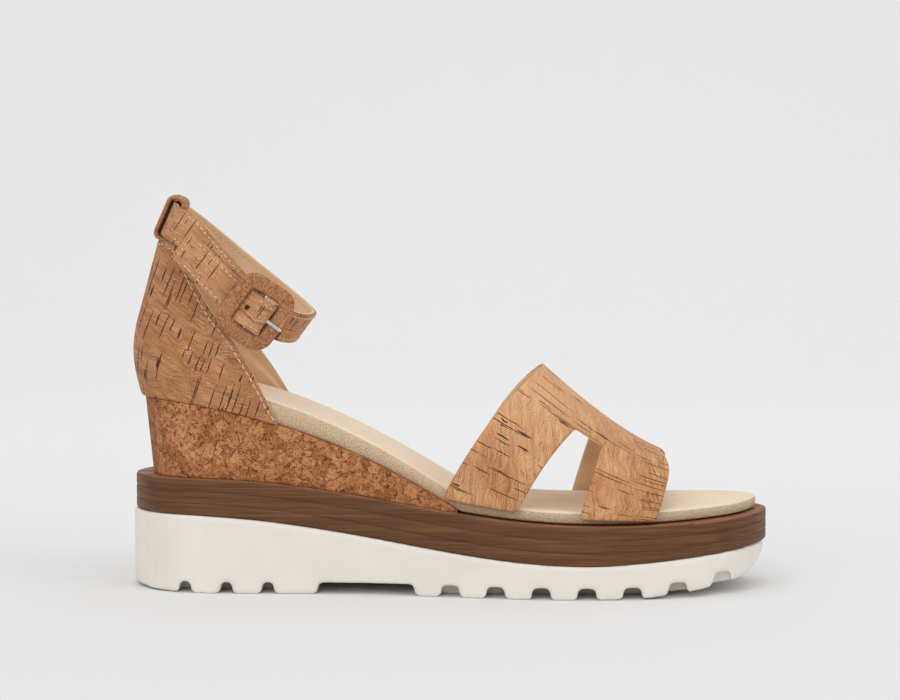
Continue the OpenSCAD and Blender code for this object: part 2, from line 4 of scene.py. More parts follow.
import bmesh
import bpy
import numpy as np
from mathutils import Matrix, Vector


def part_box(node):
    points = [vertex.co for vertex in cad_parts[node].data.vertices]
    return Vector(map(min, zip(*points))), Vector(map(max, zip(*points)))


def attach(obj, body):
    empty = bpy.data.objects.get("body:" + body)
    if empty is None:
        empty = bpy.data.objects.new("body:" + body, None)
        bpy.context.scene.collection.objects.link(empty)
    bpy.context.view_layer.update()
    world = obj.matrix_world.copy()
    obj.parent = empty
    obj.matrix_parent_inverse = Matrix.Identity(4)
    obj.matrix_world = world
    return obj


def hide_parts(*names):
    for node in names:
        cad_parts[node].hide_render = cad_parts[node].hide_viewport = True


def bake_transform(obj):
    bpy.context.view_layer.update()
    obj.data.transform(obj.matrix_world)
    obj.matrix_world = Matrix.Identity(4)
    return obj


MM = 0.001
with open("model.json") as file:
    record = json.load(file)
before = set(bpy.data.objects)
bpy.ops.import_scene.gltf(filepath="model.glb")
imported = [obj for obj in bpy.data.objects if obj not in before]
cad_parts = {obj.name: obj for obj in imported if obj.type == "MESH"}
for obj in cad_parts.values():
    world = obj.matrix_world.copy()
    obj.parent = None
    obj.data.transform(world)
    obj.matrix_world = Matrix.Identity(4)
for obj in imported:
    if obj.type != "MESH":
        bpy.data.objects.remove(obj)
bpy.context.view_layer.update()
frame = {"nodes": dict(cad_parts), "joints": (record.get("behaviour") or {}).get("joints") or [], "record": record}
nodes = frame["nodes"]


# ---------- curves of the design, in millimetres ----------

def top_of(name):
    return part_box(name)[1][2] / MM


HEEL_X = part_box("midsole")[0][0] / MM
WEDGE_HEEL = top_of("cork_wedge")
MIDSOLE_HEEL = top_of("midsole")
OUTSOLE_HEEL = top_of("outsole")
OUTSOLE_BALL = 12.9            # heights under the ball of the foot
MIDSOLE_BALL = 28.3
BALL_X = 148
WEDGE_END = 95
FOOTBED_INSET = 4.2            # from the platform's edge
FOOTBED_HEEL = 9.0             # thicknesses
FOOTBED_FRONT = 4.8
CORK = 1.1                     # sheet thicknesses
LINING = 1.0
GAP = 0.05                     # between two layers
COUNTER_TOP = top_of("counter_cover")


def smooth(t):
    """Rises from 0 to 1 as t does, level at both ends."""
    c = np.clip(t, 0, 1)
    return c * c * (3 - 2 * c)


def fall(x, x0, x1):
    """Falls from 1 at x0 to 0 at x1 along half a wave."""
    return 0.5 + 0.5 * np.cos(np.pi * np.clip((x - x0) / (x1 - x0), 0, 1))


def outsole_top(x):
    """The outsole's top, with the toe spring in front of the ball."""
    return (OUTSOLE_BALL + (OUTSOLE_HEEL - OUTSOLE_BALL) * fall(x, -20, BALL_X)
            + 5.5 * (np.maximum(0, x - BALL_X) / 67) ** 1.3)


def midsole_top(x):
    return (MIDSOLE_BALL + (MIDSOLE_HEEL - MIDSOLE_BALL) * fall(x, -12, BALL_X)
            + 2.9 * (np.maximum(0, x - BALL_X) / 70) ** 2)


def wedge_curve(x):
    """The wedge's top, from the heel down to the ball."""
    drop = WEDGE_HEEL - midsole_top(WEDGE_END) - 1.1
    return WEDGE_HEEL - drop * (np.maximum(0, x - HEEL_X) / 130) ** 1.85


def seat(x):
    """What the footbed lies on."""
    return np.maximum(wedge_curve(x), midsole_top(x) + 0.5)


def footbed_top(x):
    return seat(x) + FOOTBED_FRONT + (FOOTBED_HEEL - FOOTBED_FRONT) * fall(x, 10, 130)


def run_of(points):
    """The distance along a line of points."""
    return np.concatenate([[0], np.cumsum(np.linalg.norm(np.diff(points, axis=0), axis=1))])


def catmull(a, b, c, d, t):
    """A Catmull-Rom curve between b and c."""
    return 0.5 * (2 * b + (c - a) * t + (2 * a - 5 * b + 4 * c - d) * t ** 2
                  + (3 * b - a - 3 * c + d) * t ** 3)


# The platform's outline from the back of the heel round its outer side
OUTLINE_KNOTS = np.array([
    [-35, 0], [-27, -21], [-8, -31.5], [25, -32.5], [60, -33.5], [92, -39], [120, -44.5], [146, -46],
    [172, -42.5], [194, -33], [209.5, -18.5], [217.5, 2], [212.5, 19.5], [197, 33], [174, 41], [148, 42.5],
    [120, 38], [90, 31.5], [58, 29.5], [25, 31.5], [-8, 31.5], [-27, 21]], float)


def closed_curve(k, steps):
    """A closed Catmull-Rom curve through knots."""
    n = len(k)
    return np.array([catmull(k[i - 1], k[i], k[(i + 1) % n], k[(i + 2) % n], j / steps)
                     for i in range(n) for j in range(steps)])


OUTLINE = closed_curve(OUTLINE_KNOTS, 16)


def shrunk(pts, d):
    """An outline moved inwards by d."""
    t = np.roll(pts, -1, 0) - np.roll(pts, 1, 0)
    t /= np.linalg.norm(t, axis=1)[:, None]
    return pts + d * np.stack([-t[:, 1], t[:, 0]], 1)


def inset(d):
    return shrunk(OUTLINE, d)


def halves(pts, count, x_end=None):
    """The outline's outside and inside halves, from the heel forwards, each resampled to count points."""
    n = len(pts)
    sides = [pts[:n // 2 + 1], np.concatenate([pts[:1], pts[:n // 2 - 1:-1]])]
    out = []
    for side in sides:
        if x_end is not None:
            last = int(np.argmax(side[:, 0] > x_end))
            t = (x_end - side[last - 1, 0]) / (side[last, 0] - side[last - 1, 0])
            side = np.concatenate([side[:last], [side[last - 1] * (1 - t) + side[last] * t]])
        run = run_of(side)
        at = np.linspace(0, run[-1], count)
        out.append(np.stack([np.interp(at, run, side[:, k]) for k in (0, 1)], 1))
    return out


# ---------- mesh helpers ----------

UV_SCALE = 0.01                # the pattern's coordinates are in units of 100 mm


def link(name, data):
    o = bpy.data.objects.new(name, data)
    bpy.context.scene.collection.objects.link(o)
    return o


def new_object(name, verts, faces, uv=None):
    """A smooth mesh object from millimetres."""
    mesh = bpy.data.meshes.new(name)
    mesh.from_pydata([tuple(v * MM) for v in np.asarray(verts, float)], [], faces)
    if uv is not None:
        layer = mesh.uv_layers.new(name="pattern")
        flat = np.array([uv[l.vertex_index] for l in mesh.loops], np.float32) * UV_SCALE
        layer.data.foreach_set("uv", flat.ravel())
    mesh.polygons.foreach_set("use_smooth", [True] * len(mesh.polygons))
    return link(name, mesh)


MERGE = 0.01 * MM


def tidy(o, merge=True):
    """Merges points that meet, drops unused ones and turns every face outwards."""
    bm = bmesh.new()
    bm.from_mesh(o.data)
    if merge:
        bmesh.ops.remove_doubles(bm, verts=bm.verts, dist=MERGE)
        bmesh.ops.dissolve_degenerate(bm, dist=MERGE * 0.1, edges=bm.edges)
    loose = [v for v in bm.verts if not v.link_faces]
    bmesh.ops.delete(bm, geom=loose, context="VERTS")
    bmesh.ops.recalc_face_normals(bm, faces=bm.faces)
    bm.to_mesh(o.data)
    bm.free()
    return o


def apply_modifiers(o):
    depsgraph = bpy.context.evaluated_depsgraph_get()
    mesh = bpy.data.meshes.new_from_object(o.evaluated_get(depsgraph))
    o.modifiers.clear()
    o.data = mesh
    return o


def subdivide(o):
    m = o.modifiers.new("subdivide", "SUBSURF")
    m.levels = 1
    m.render_levels = 1
    return apply_modifiers(o)


def slab(name, rings, across=1, crown=None):
    """A closed layer of the sole. Each ring is its outside and inside half; the first is the bottom."""
    verts, faces, uv = [], [], []
    m = len(rings[0][0])
    loop = list(range(m)) + list(range(2 * m - 1, m - 1, -1))
    run = run_of(rings[0][0])
    height = 0
    for k, (a, b) in enumerate(rings):
        if k:
            height += float(np.linalg.norm(rings[k][0][m // 2] - rings[k - 1][0][m // 2]))
        verts += list(a) + list(b)
        uv += [(r, height) for r in run] * 2
    for k in range(len(rings) - 1):
        for p, q in zip(loop, loop[1:] + loop[:1]):
            faces.append((2 * m * k + p, 2 * m * k + q, 2 * m * (k + 1) + q, 2 * m * (k + 1) + p))
    for k, parts in ((0, 1), (len(rings) - 1, across)):
        a, b = rings[k]
        columns = [[2 * m * k + i for i in range(m)]]
        for j in range(1, parts):
            t = j / parts
            row = a * (1 - t) + b * t
            if crown is not None and k:
                row[:, 2] += crown(row[:, 0], 2 * t - 1)
            columns.append(list(range(len(verts), len(verts) + m)))
            verts += list(row)
            uv += [(r, p[1]) for r, p in zip(run, row)]
        columns.append([2 * m * k + m + i for i in range(m)])
        for j in range(parts):
            c, d = columns[j], columns[j + 1]
            faces += [(c[i], d[i], d[i + 1], c[i + 1]) for i in range(m - 1)]
    return tidy(new_object(name, verts, faces, uv))


def with_z(line, z):
    """A plan line raised to a height, or to a function of x."""
    return np.column_stack([line, z(line[:, 0]) if callable(z) else np.full(len(line), z)])


def ring(d, z, count=220, x_end=None, pts=None):
    """One level of a slab: the halves of pts, or of the outline inset by d."""
    return tuple(with_z(h, z) for h in halves(inset(d) if pts is None else pts, count, x_end))


def sheet(name, outer, inner, keep=None, uv=None):
    """A closed sheet between an outer and an inner grid of points, with the cells that keep() allows."""
    rows, cols = outer.shape[0] - 1, outer.shape[1] - 1
    count = (rows + 1) * (cols + 1)
    faces = []

    def o(i, j):
        return i * (cols + 1) + j

    def n(i, j):
        return count + o(i, j)

    def has(i, j):
        return 0 <= i < rows and 0 <= j < cols and (keep is None or keep(i, j))

    for i in range(rows):
        for j in range(cols):
            if not has(i, j):
                continue
            a, b, c, d = (i, j), (i + 1, j), (i + 1, j + 1), (i, j + 1)
            faces.append([o(*p) for p in (a, b, c, d)])
            faces.append([n(*p) for p in (a, d, c, b)])
            for beside, p, q in (((i - 1, j), a, d), ((i + 1, j), c, b),
                                 ((i, j - 1), b, a), ((i, j + 1), d, c)):
                if not has(*beside):
                    faces.append((o(*p), o(*q), n(*q), n(*p)))
    verts = np.concatenate([outer.reshape(-1, 3), inner.reshape(-1, 3)])
    flat_uv = None if uv is None else np.concatenate([uv.reshape(-1, 2)] * 2)
    return tidy(new_object(name, verts, faces, flat_uv), merge=False)


# ---------- materials ----------

class Shader:
    """A node material under construction. Patterns are in millimetres."""

    def __init__(self, name, roughness=0.6, specular=0.5, sheen=0.0, metallic=0.0):
        self.mat = bpy.data.materials.new(name)
        self.mat.use_nodes = True
        self.tree = self.mat.node_tree
        self.bsdf = self.tree.nodes["Principled BSDF"]
        self.set("Roughness", roughness)
        self.set("Specular IOR Level", specular)
        self.set("Metallic", metallic)
        self.set("Sheen Weight", sheen)

    def plug(self, socket, value):
        """Links another node's output to a socket, or sets its value."""
        if hasattr(value, "node"):
            self.tree.links.new(value, socket)
        else:
            socket.default_value = value

    def set(self, name, value):
        self.plug(self.bsdf.inputs[name], value)

    def add(self, kind, props=None, out=0, **inputs):
        node = self.tree.nodes.new(kind)
        for k, v in (props or {}).items():
            setattr(node, k, v)
        for k, v in inputs.items():
            self.plug(node.inputs[int(k[1:]) if k[0] == "_" else k], v)
        return node.outputs[out]

    def uv(self):
        """The place on a laid-out sheet."""
        return self.scaled(self.add("ShaderNodeUVMap", {"uv_map": "pattern"}), (1 / UV_SCALE,) * 3)

    def place(self):
        """The position on the object."""
        return self.scaled(self.add("ShaderNodeTexCoord", out=3), (1 / MM,) * 3)

    def scaled(self, v, s):
        return self.add("ShaderNodeMapping", Vector=v, Scale=s)

    def noise(self, v, scale, detail=3.0, rough=0.55, out=0):
        return self.add("ShaderNodeTexNoise", None, out, Vector=v, Scale=scale, Detail=detail,
                        Roughness=rough)

    def cells(self, v, scale, feature="F1", out=0):
        return self.add("ShaderNodeTexVoronoi", {"feature": feature}, out, Vector=v, Scale=scale)

    def flat_cells(self, v, out):
        """The colour (1) or centre (2) of the cell that a flat place is in."""
        return self.add("ShaderNodeTexVoronoi", {"voronoi_dimensions": "2D"}, out, Vector=v, Scale=1.0)

    def math(self, op, a, b=0.0):
        return self.add("ShaderNodeMath", {"operation": op}, _0=a, _1=b)

    def times(self, a, b):
        return self.math("MULTIPLY", a, b)

    def vector(self, op, *values):
        return self.add("ShaderNodeVectorMath", {"operation": op},
                        **{"_%d" % k: v for k, v in enumerate(values)})

    def remap(self, v, a, b, c=0.0, d=1.0):
        """Moves smoothly from c to d as v goes from a to b."""
        return self.add("ShaderNodeMapRange", {"interpolation_type": "SMOOTHSTEP"}, _0=v, _1=a, _2=b,
                        _3=c, _4=d)

    def mix(self, f, a, b):
        """Mixes two colours, each a socket or red, green and blue out of 255."""
        node = self.tree.nodes.new("ShaderNodeMix")
        node.data_type = "RGBA"
        for s, v in ((node.inputs[0], f), (node.inputs[6], a), (node.inputs[7], b)):
            self.plug(s, srgb(v) if isinstance(v, tuple) else v)
        return node.outputs[2]

    def split(self, v, i):
        return self.add("ShaderNodeSeparateXYZ", out=i, Vector=v)

    def bump(self, height, strength, distance):
        return self.add("ShaderNodeBump", Strength=strength, Distance=distance, Height=height)


def srgb(c):
    """A linear colour from red, green and blue out of 255."""
    def lin(v):
        v /= 255
        return v / 12.92 if v <= 0.04045 else ((v + 0.055) / 1.055) ** 2.4
    return tuple(lin(v) for v in c) + (1.0,)


def dashes(s, v, size, chosen, half_width, length):
    """Scattered thin marks along the pattern's first direction, one in a share of the cells."""
    q = s.scaled(v, (1 / size[0], 1 / size[1], 0))
    pick = s.split(s.flat_cells(q, 1), 0)
    off = s.vector("SUBTRACT", q, s.flat_cells(q, 2))
    along = s.times(s.split(off, 0), size[0])
    width = s.math("ABSOLUTE", s.times(s.split(off, 1), size[1]))
    taper = s.math("SUBTRACT", 1.0, s.math("POWER", s.math("ABSOLUTE", s.math("DIVIDE", along, length)), 2.0))
    reach = s.math("SUBTRACT", s.times(taper, half_width), width)
    return s.times(s.remap(reach, -0.06, 0.06), s.math("LESS_THAN", pick, chosen))


def cork_fabric(name, base, light, dark, on_sheet=True, slits=(), rings=0.4, seed=0.0, edge=None,
                pale_from=None):
    """Smooth cork sheet. Slit marks run along the pattern's first direction, growth lines across it.

    Each of the slits is a cell's length and width, the share of cells with a mark, half its width and
    half its length. The sheet darkens towards edge: partly painted shade on its folded edge, partly a
    burnished edge. Above the height pale_from it is painted paler, a painted highlight on its top.
    """
    s = Shader(name, specular=0.25)
    flat = s.uv() if on_sheet else s.place()
    v = s.vector("ADD", flat, (seed, seed * 1.7, 0))
    patch = s.noise(v, 0.06, 2)
    colour = s.mix(s.remap(patch, 0.38, 0.64), base, light)
    blocks = s.flat_cells(s.scaled(v, (0.05, 0.14, 0)), 1)
    colour = s.mix(s.remap(s.split(blocks, 0), 0.0, 1.0, 0.0, 0.3), colour, dark)
    colour = s.mix(s.remap(s.split(blocks, 1), 0.6, 1.0, 0.0, 0.25), colour, light)
    band = s.noise(s.scaled(v, (0.34, 0.03, 1.0)), 1.0, 2, 0.5)
    colour = s.mix(s.remap(band, 0.42, 0.66, 0.0, rings), colour, dark)
    wave = s.vector("MULTIPLY_ADD", s.noise(v, 0.16, 2, out=1), (4.5, 0, 0), v)
    lines = s.noise(s.scaled(wave, (1.15, 0.05, 1.0)), 1.0, 2, 0.5)
    zones = s.remap(s.noise(v, 0.055, 2), 0.42, 0.60, 0.25, 1.0)
    line_mask = s.times(s.remap(lines, 0.54, 0.64), zones)
    colour = s.mix(s.times(line_mask, 0.75), colour, (126, 74, 42))
    hair = s.noise(s.scaled(wave, (4.2, 0.13, 1.0)), 1.0, 2, 0.6)
    colour = s.mix(s.remap(hair, 0.50, 0.64, 0.0, 0.7), colour, (140, 84, 46))
    colour = s.mix(s.remap(hair, 0.34, 0.48, 0.55, 0.0), colour, (230, 178, 128))
    fine = s.noise(v, 2.4, 3, 0.6)
    colour = s.mix(s.remap(fine, 0.5, 0.70, 0.0, 0.5), colour, (138, 84, 48))
    colour = s.mix(s.remap(fine, 0.30, 0.46, 0.4, 0.0), colour, (232, 184, 138))
    specks = s.remap(s.noise(v, 1.5, 3, 0.6), 0.62, 0.68)
    marks = s.times(specks, 0.75)
    moved = s.vector("MULTIPLY_ADD", s.noise(v, 0.45, 3, out=1), (0.6, 0.9, 0), v)
    for size, chosen, half_width, length in slits:
        marks = s.math("MAXIMUM", marks, dashes(s, moved, size, chosen, half_width, length))
    colour = s.mix(s.times(marks, 0.95), colour, (62, 33, 18))
    # Painted highlight: above the height pale_from the sheet turns paler, standing in for light from above on the
    # top
    if pale_from is not None:
        painted_top_light = s.remap(s.split(s.place(), 2), pale_from, pale_from + 40, 0.0, 0.5)
        clear = s.math("SUBTRACT", 1.0, marks)
        colour = s.mix(s.times(painted_top_light, clear), colour, (232, 182, 138))
    # Darker towards the strap's edges: partly painted shade where the folded edge turns away, partly a burnished
    # edge
    if edge is not None:
        edge_shade_and_burnish = s.remap(s.math("ABSOLUTE", s.split(flat, 0)), edge - 0.5, edge, 0.0, 0.6)
        colour = s.mix(edge_shade_and_burnish, colour, (140, 88, 56))
    s.set("Base Color", colour)
    raised = s.math("ADD", s.times(band, 0.6), s.times(fine, 0.35))
    sunk = s.math("ADD", marks, s.times(line_mask, 0.35))
    s.set("Normal", s.bump(s.math("SUBTRACT", raised, sunk), 0.6, 0.0004))
    s.set("Roughness", s.remap(fine, 0.3, 0.7, 0.5, 0.68))
    return s.mat


def pressed_cork(name):
    """Cork granules pressed into a block, with thin dark seams and specks between them."""
    s = Shader(name, roughness=0.75, specular=0.2)
    v = s.place()
    v2 = s.vector("MULTIPLY_ADD", s.noise(v, 0.5, 4, out=1), (3.4, 3.4, 3.4), v)
    tone = s.split(s.cells(v2, 0.20, out=1), 0)
    small = s.split(s.cells(v2, 0.55, out=1), 1)
    colour = s.mix(s.remap(tone, 0.0, 1.0), (166, 104, 60), (206, 142, 94))
    colour = s.mix(s.remap(small, 0.5, 1.0, 0.0, 0.6), colour, (214, 154, 106))
    colour = s.mix(s.remap(small, 0.0, 0.4, 0.5, 0.0), colour, (134, 78, 42))
    broad = s.noise(v, 0.05, 2)
    colour = s.mix(s.remap(broad, 0.4, 0.65, 0.0, 0.4), colour, (150, 88, 48))
    seams = s.times(s.remap(s.cells(v2, 0.20, "DISTANCE_TO_EDGE"), 0.0, 0.06, 1, 0),
                    s.remap(s.noise(v, 0.4, 2), 0.45, 0.56))
    fine_seams = s.times(s.remap(s.cells(v2, 0.55, "DISTANCE_TO_EDGE"), 0.0, 0.09, 1, 0),
                         s.remap(s.noise(v, 0.62, 2), 0.50, 0.60))
    dark = s.math("MAXIMUM", s.times(seams, 0.95), s.times(fine_seams, 0.9))
    dots = s.remap(s.noise(v, 1.5, 3, 0.6), 0.59, 0.65)
    pits = s.remap(s.noise(v, 0.75, 4, 0.7), 0.66, 0.71)
    spots = s.math("MAXIMUM", s.times(dots, 0.7), s.times(pits, 0.9))
    dark = s.math("MAXIMUM", dark, spots)
    colour = s.mix(dark, colour, (70, 36, 18))
    grain = s.noise(v, 3.2, 3, 0.65)
    colour = s.mix(s.remap(grain, 0.48, 0.72, 0.0, 0.5), colour, (126, 72, 40))
    bright = s.remap(s.noise(s.scaled(v, (-1, -1, -1)), 1.4, 3), 0.58, 0.70, 0.0, 0.5)
    colour = s.mix(bright, colour, (226, 170, 122))
    s.set("Base Color", colour)
    raised = s.math("ADD", s.times(tone, 0.3), s.times(grain, 0.6))
    s.set("Normal", s.bump(s.math("SUBTRACT", raised, dark), 0.6, 0.0005))
    return s.mat


def stacked_brown(name, body, streak, pale):
    """Brown layers with long streaks."""
    s = Shader(name, roughness=0.55, specular=0.3)
    v = s.place()
    along = s.scaled(v, (0.016, 0.05, 0.62))
    wave = s.noise(along, 1.0, 4, 0.6)
    fine = s.noise(s.scaled(v, (0.05, 0.12, 2.6)), 1.0, 3, 0.6)
    colour = s.mix(s.remap(wave, 0.35, 0.68), body, pale)
    colour = s.mix(s.remap(fine, 0.42, 0.66, 0, 0.65), colour, streak)
    knots = s.remap(s.noise(s.scaled(v, (0.03, 0.1, 0.9)), 1.0, 2), 0.60, 0.72)
    colour = s.mix(s.times(knots, 0.5), colour, streak)
    s.set("Base Color", colour)
    s.set("Roughness", s.remap(fine, 0.3, 0.7, 0.42, 0.6))
    s.set("Normal", s.bump(s.math("ADD", fine, s.times(wave, 0.4)), 0.25, 0.0003))
    return s.mat


def leather(name, base, dark, grain=1.1, strength=0.25, roughness=0.7):
    """Soft, slightly blotched material with a fine nap."""
    s = Shader(name, roughness=roughness, specular=0.25, sheen=0.2)
    v = s.place()
    blotch = s.noise(v, 0.09, 3)
    nap = s.noise(v, grain, 4, 0.65)
    colour = s.mix(s.remap(blotch, 0.35, 0.7, 0, 0.6), base, dark)
    colour = s.mix(s.remap(nap, 0.45, 0.75, 0, 0.5), colour, dark)
    s.set("Base Color", colour)
    s.set("Normal", s.bump(nap, strength, 0.0004))
    return s.mat


def pebbled(name, base, dark):
    """Suede with a coarse grain."""
    s = Shader(name, roughness=0.9, specular=0.2, sheen=0.2)
    v = s.place()
    bumps = s.cells(v, 2.0)
    fleck = s.noise(v, 1.9, 3, 0.65)
    colour = s.mix(s.remap(bumps, 0.25, 0.75), base, dark)
    colour = s.mix(s.remap(fleck, 0.48, 0.68, 0.0, 0.55), colour, dark)
    s.set("Base Color", colour)
    height = s.math("SUBTRACT", s.times(fleck, 0.8), bumps)
    s.set("Normal", s.bump(height, 0.7, 0.0005))
    return s.mat


def moulded(name, base, shade):
    """Foamed rubber out of a mould."""
    s = Shader(name, roughness=0.5)
    s.set("Subsurface Weight", 0.08)
    s.set("Subsurface Radius", (0.002, 0.0018, 0.0015))
    v = s.place()
    cloud = s.noise(v, 0.03, 3)
    fine = s.noise(v, 1.6, 3)
    s.set("Base Color", s.mix(s.remap(cloud, 0.3, 0.7), base, shade))
    s.set("Roughness", s.remap(fine, 0.3, 0.7, 0.42, 0.56))
    s.set("Normal", s.bump(fine, 0.06, 0.0003))
    return s.mat


def metal(name, base, roughness):
    s = Shader(name, roughness=roughness, metallic=1.0)
    v = s.place()
    n = s.noise(v, 1.2, 3)
    s.set("Base Color", s.mix(s.remap(n, 0.3, 0.7), base, tuple(c * 0.86 for c in base)))
    s.set("Roughness", s.remap(n, 0.3, 0.7, roughness, roughness + 0.12))
    return s.mat


def thread_material(name, base):
    s = Shader(name)
    v = s.place()
    twist = s.noise(v, 3.0, 2)
    s.set("Base Color", s.mix(s.remap(twist, 0.3, 0.7), base, tuple(c * 0.78 for c in base)))
    s.set("Normal", s.bump(twist, 0.4, 0.0002))
    return s.mat


LONG_SLITS = ((17, 3.0), 0.42, 0.24, 8.0)
MIDDLE_SLITS = ((8, 2.2), 0.20, 0.28, 3.8)
THICK_SLITS = ((8, 4.5), 0.08, 0.5, 2.8)
VAMP_SLITS = (((19, 3.2), 0.30, 0.22, 9.0), ((8, 2.6), 0.14, 0.22, 3.6), ((8, 4.5), 0.06, 0.4, 2.6))
STRAP_SLITS = (((11, 4.2), 0.24, 0.22, 5.2), ((5, 3.0), 0.12, 0.2, 2.2), ((9, 9), 0.12, 0.5, 3.6))
# How each material is made, its colours out of 255 and its options
MATERIALS = {
    "outsole_white": (moulded, ((234, 228, 219), (228, 221, 211)), {}),
    "midsole_brown": (stacked_brown, ((95, 58, 30), (74, 43, 21), (114, 74, 41)), {}),
    # A paler copy of the brown, a painted highlight for the midsole's up-facing top rim
    "midsole_lip": (stacked_brown, ((136, 90, 58), (112, 70, 42), (150, 102, 70)), {}),
    "wedge_cork": (pressed_cork, (), {}),
    "cork_counter": (cork_fabric, ((170, 112, 70), (192, 138, 96), (150, 93, 56)),
                     {"seed": 3.0, "slits": (LONG_SLITS, MIDDLE_SLITS, THICK_SLITS)}),
    # The vamp is painted paler above 45 mm, a painted highlight on its top
    "cork_vamp": (cork_fabric, ((200, 142, 94), (220, 168, 122), (180, 118, 72)),
                  {"seed": 41.0, "slits": VAMP_SLITS, "rings": 0.75, "pale_from": 45}),
    # The strap darkens towards its edges: partly painted shade at the folded edges, partly a burnished edge
    "cork_strap": (cork_fabric, ((192, 138, 96), (208, 158, 116), (168, 112, 72)),
                   {"seed": 77.0, "slits": STRAP_SLITS, "edge": 6.75}),
    "buckle_cork": (cork_fabric, ((166, 112, 74), (184, 130, 90), (142, 90, 56)),
                    {"on_sheet": False, "rings": 0.3}),
    "lining_beige": (leather, ((226, 192, 152), (206, 168, 126)), {}),
    "suede_top": (leather, ((234, 214, 188), (226, 202, 172)),
                  {"grain": 0.9, "strength": 0.12, "roughness": 0.85}),
    "suede_side": (pebbled, ((224, 202, 174), (196, 168, 136)), {}),
    "board_tan": (leather, ((176, 142, 104), (150, 116, 80)), {}),
    "filler_cork": (leather, ((156, 108, 72), (120, 78, 48)), {}),
    "foam_cream": (leather, ((232, 222, 198), (216, 202, 172)), {}),
    "cushion_blue": (leather, ((160, 184, 206), (136, 162, 188)), {}),
    "stiffener_white": (leather, ((226, 222, 214), (206, 200, 190)), {}),
    "shank_steel": (metal, ((150, 152, 154),), {"roughness": 0.35}),
    "nail_steel": (metal, ((170, 170, 172),), {"roughness": 0.3}),
    "buckle_metal": (metal, ((222, 222, 224),), {"roughness": 0.14}),
    "thread": (thread_material, ((232, 204, 168),), {}),
}
mats = {name: make(name, *colours, **options) for name, (make, colours, options) in MATERIALS.items()}


def paint(o, *names):
    o.data.materials.clear()
    for n in names:
        o.data.materials.append(mats[n])
    return o


def add_piece(o, body, slot, *replaced):
    """Ties a visual piece to its body and hides the CAD nodes that it stands for. The slot is not used."""
    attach(o, body)
    if replaced:
        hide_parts(*replaced)
    return o


# CAD nodes that are shown, or lie inside, take their slot's material
SLOT_OF = {p["node"]: p["material_slot"] for p in frame["record"]["subparts"]}
PAINT_OF = {"cork_fabric": "cork_strap", "suede_cream": "suede_top"}
for node_name, slot_name in SLOT_OF.items():
    paint(nodes[node_name], PAINT_OF.get(slot_name, slot_name))


def add_smooth(o, material, slot, node):
    """Smooths, paints and adds a piece of the sandal's upper."""
    subdivide(o)
    paint(o, material)
    add_piece(o, "sandal", slot, node)


def weld(o):
    o.modifiers.new("weld", "WELD").merge_threshold = 0.00002


def melt(node_name, voxel, rounds):
    """Rounds every edge of a moulded CAD node with modifiers."""
    o = nodes[node_name]
    weld(o)
    r = o.modifiers.new("remesh", "REMESH")
    r.mode = "VOXEL"
    r.voxel_size = voxel * MM
    r.use_smooth_shade = True
    m = o.modifiers.new("smooth", "SMOOTH")
    m.factor = 0.5
    m.iterations = rounds


def soften(node_name, width=0):
    """Shades a CAD node smoothly and rounds its sharp edges with modifiers."""
    o = nodes[node_name]
    if "custom_normal" in o.data.attributes:
        o.data.attributes.remove(o.data.attributes["custom_normal"])
    o.data.polygons.foreach_set("use_smooth", [True] * len(o.data.polygons))
    weld(o)
    if width:
        b = o.modifiers.new("bevel", "BEVEL")
        b.width = width * MM
        b.limit_method = "ANGLE"
        b.angle_limit = math.radians(30)
        b.segments = 3
        b.harden_normals = True
    n = o.modifiers.new("normals", "WEIGHTED_NORMAL")
    n.keep_sharp = False
    n.weight = 80


melt("outsole", 0.8, 7)
soften("buckle_wrap")
soften("buckle_prong")
soften("buckle_bar", 0.1)

# ---------- sole ----------

# Distances inwards and shares of the height, with two grooves between the three layers
MIDSOLE_PROFILE = [
    (0.9, 0.0), (0.3, 0.015), (0.05, 0.05), (0.0, 0.10),
    (0.0, 0.28), (0.12, 0.305), (0.5, 0.325), (0.12, 0.345), (0.0, 0.37),
    (0.0, 0.60), (0.12, 0.63), (0.5, 0.65), (0.12, 0.67), (0.0, 0.70),
    (0.0, 0.90), (0.08, 0.95), (0.35, 0.985), (0.8, 1.0), (2.4, 1.0), (4.0, 1.0), (7.0, 0.995)]


def between(bottom, top, h):
    """A share h of the way from just over bottom(x) to top(x)."""
    return lambda x: (bottom(x) + GAP) * (1 - h) + top(x) * h


midsole = slab("midsole_body", [ring(d, between(outsole_top, midsole_top, h), 300)
                                for d, h in MIDSOLE_PROFILE])
# The up-facing top rim takes midsole_lip, a paler copy of the brown: a painted highlight where light from above
# falls
paint(midsole, "midsole_brown", "midsole_lip")
for poly in midsole.data.polygons:
    c = poly.center / MM
    if poly.normal.z > 0.5 and c.z > midsole_top(c.x) - 0.9:
        poly.material_index = 1
add_piece(midsole, "sandal", "midsole_brown", "midsole")


def wedge_outline(h):
    """The back of the wedge slopes inwards towards the midsole."""
    pts = inset(FOOTBED_INSET - 0.4)
    pts[:, 0] += 3.2 * (1 - h) * smooth((-4 - pts[:, 0]) / 28)
    return pts


def wedge_top(x):
    return np.maximum(wedge_curve(x), midsole_top(x) + 0.2)


wedge = slab("wedge_body", [ring(0, between(midsole_top, wedge_top, h), 200, WEDGE_END, wedge_outline(h))
                            for h in (0, 0.02, 0.25, 0.5, 0.75, 0.98, 1)])
paint(wedge, "wedge_cork")
add_piece(wedge, "sandal", "wedge_cork", "cork_wedge")

# The heel counter's foot: its back, half its width, and its front ends on the outer and inner side
COUNTER_BACK, COUNTER_HALF = -32.6, 29.6
COUNTER_FRONT = {-1: 24, 1: 28}
ROUNDING = 2.2


def half_heel(x):
    return COUNTER_HALF * (1 - np.maximum(0, 1 - (x - COUNTER_BACK) / 40) ** ROUNDING) ** (1 / ROUNDING)


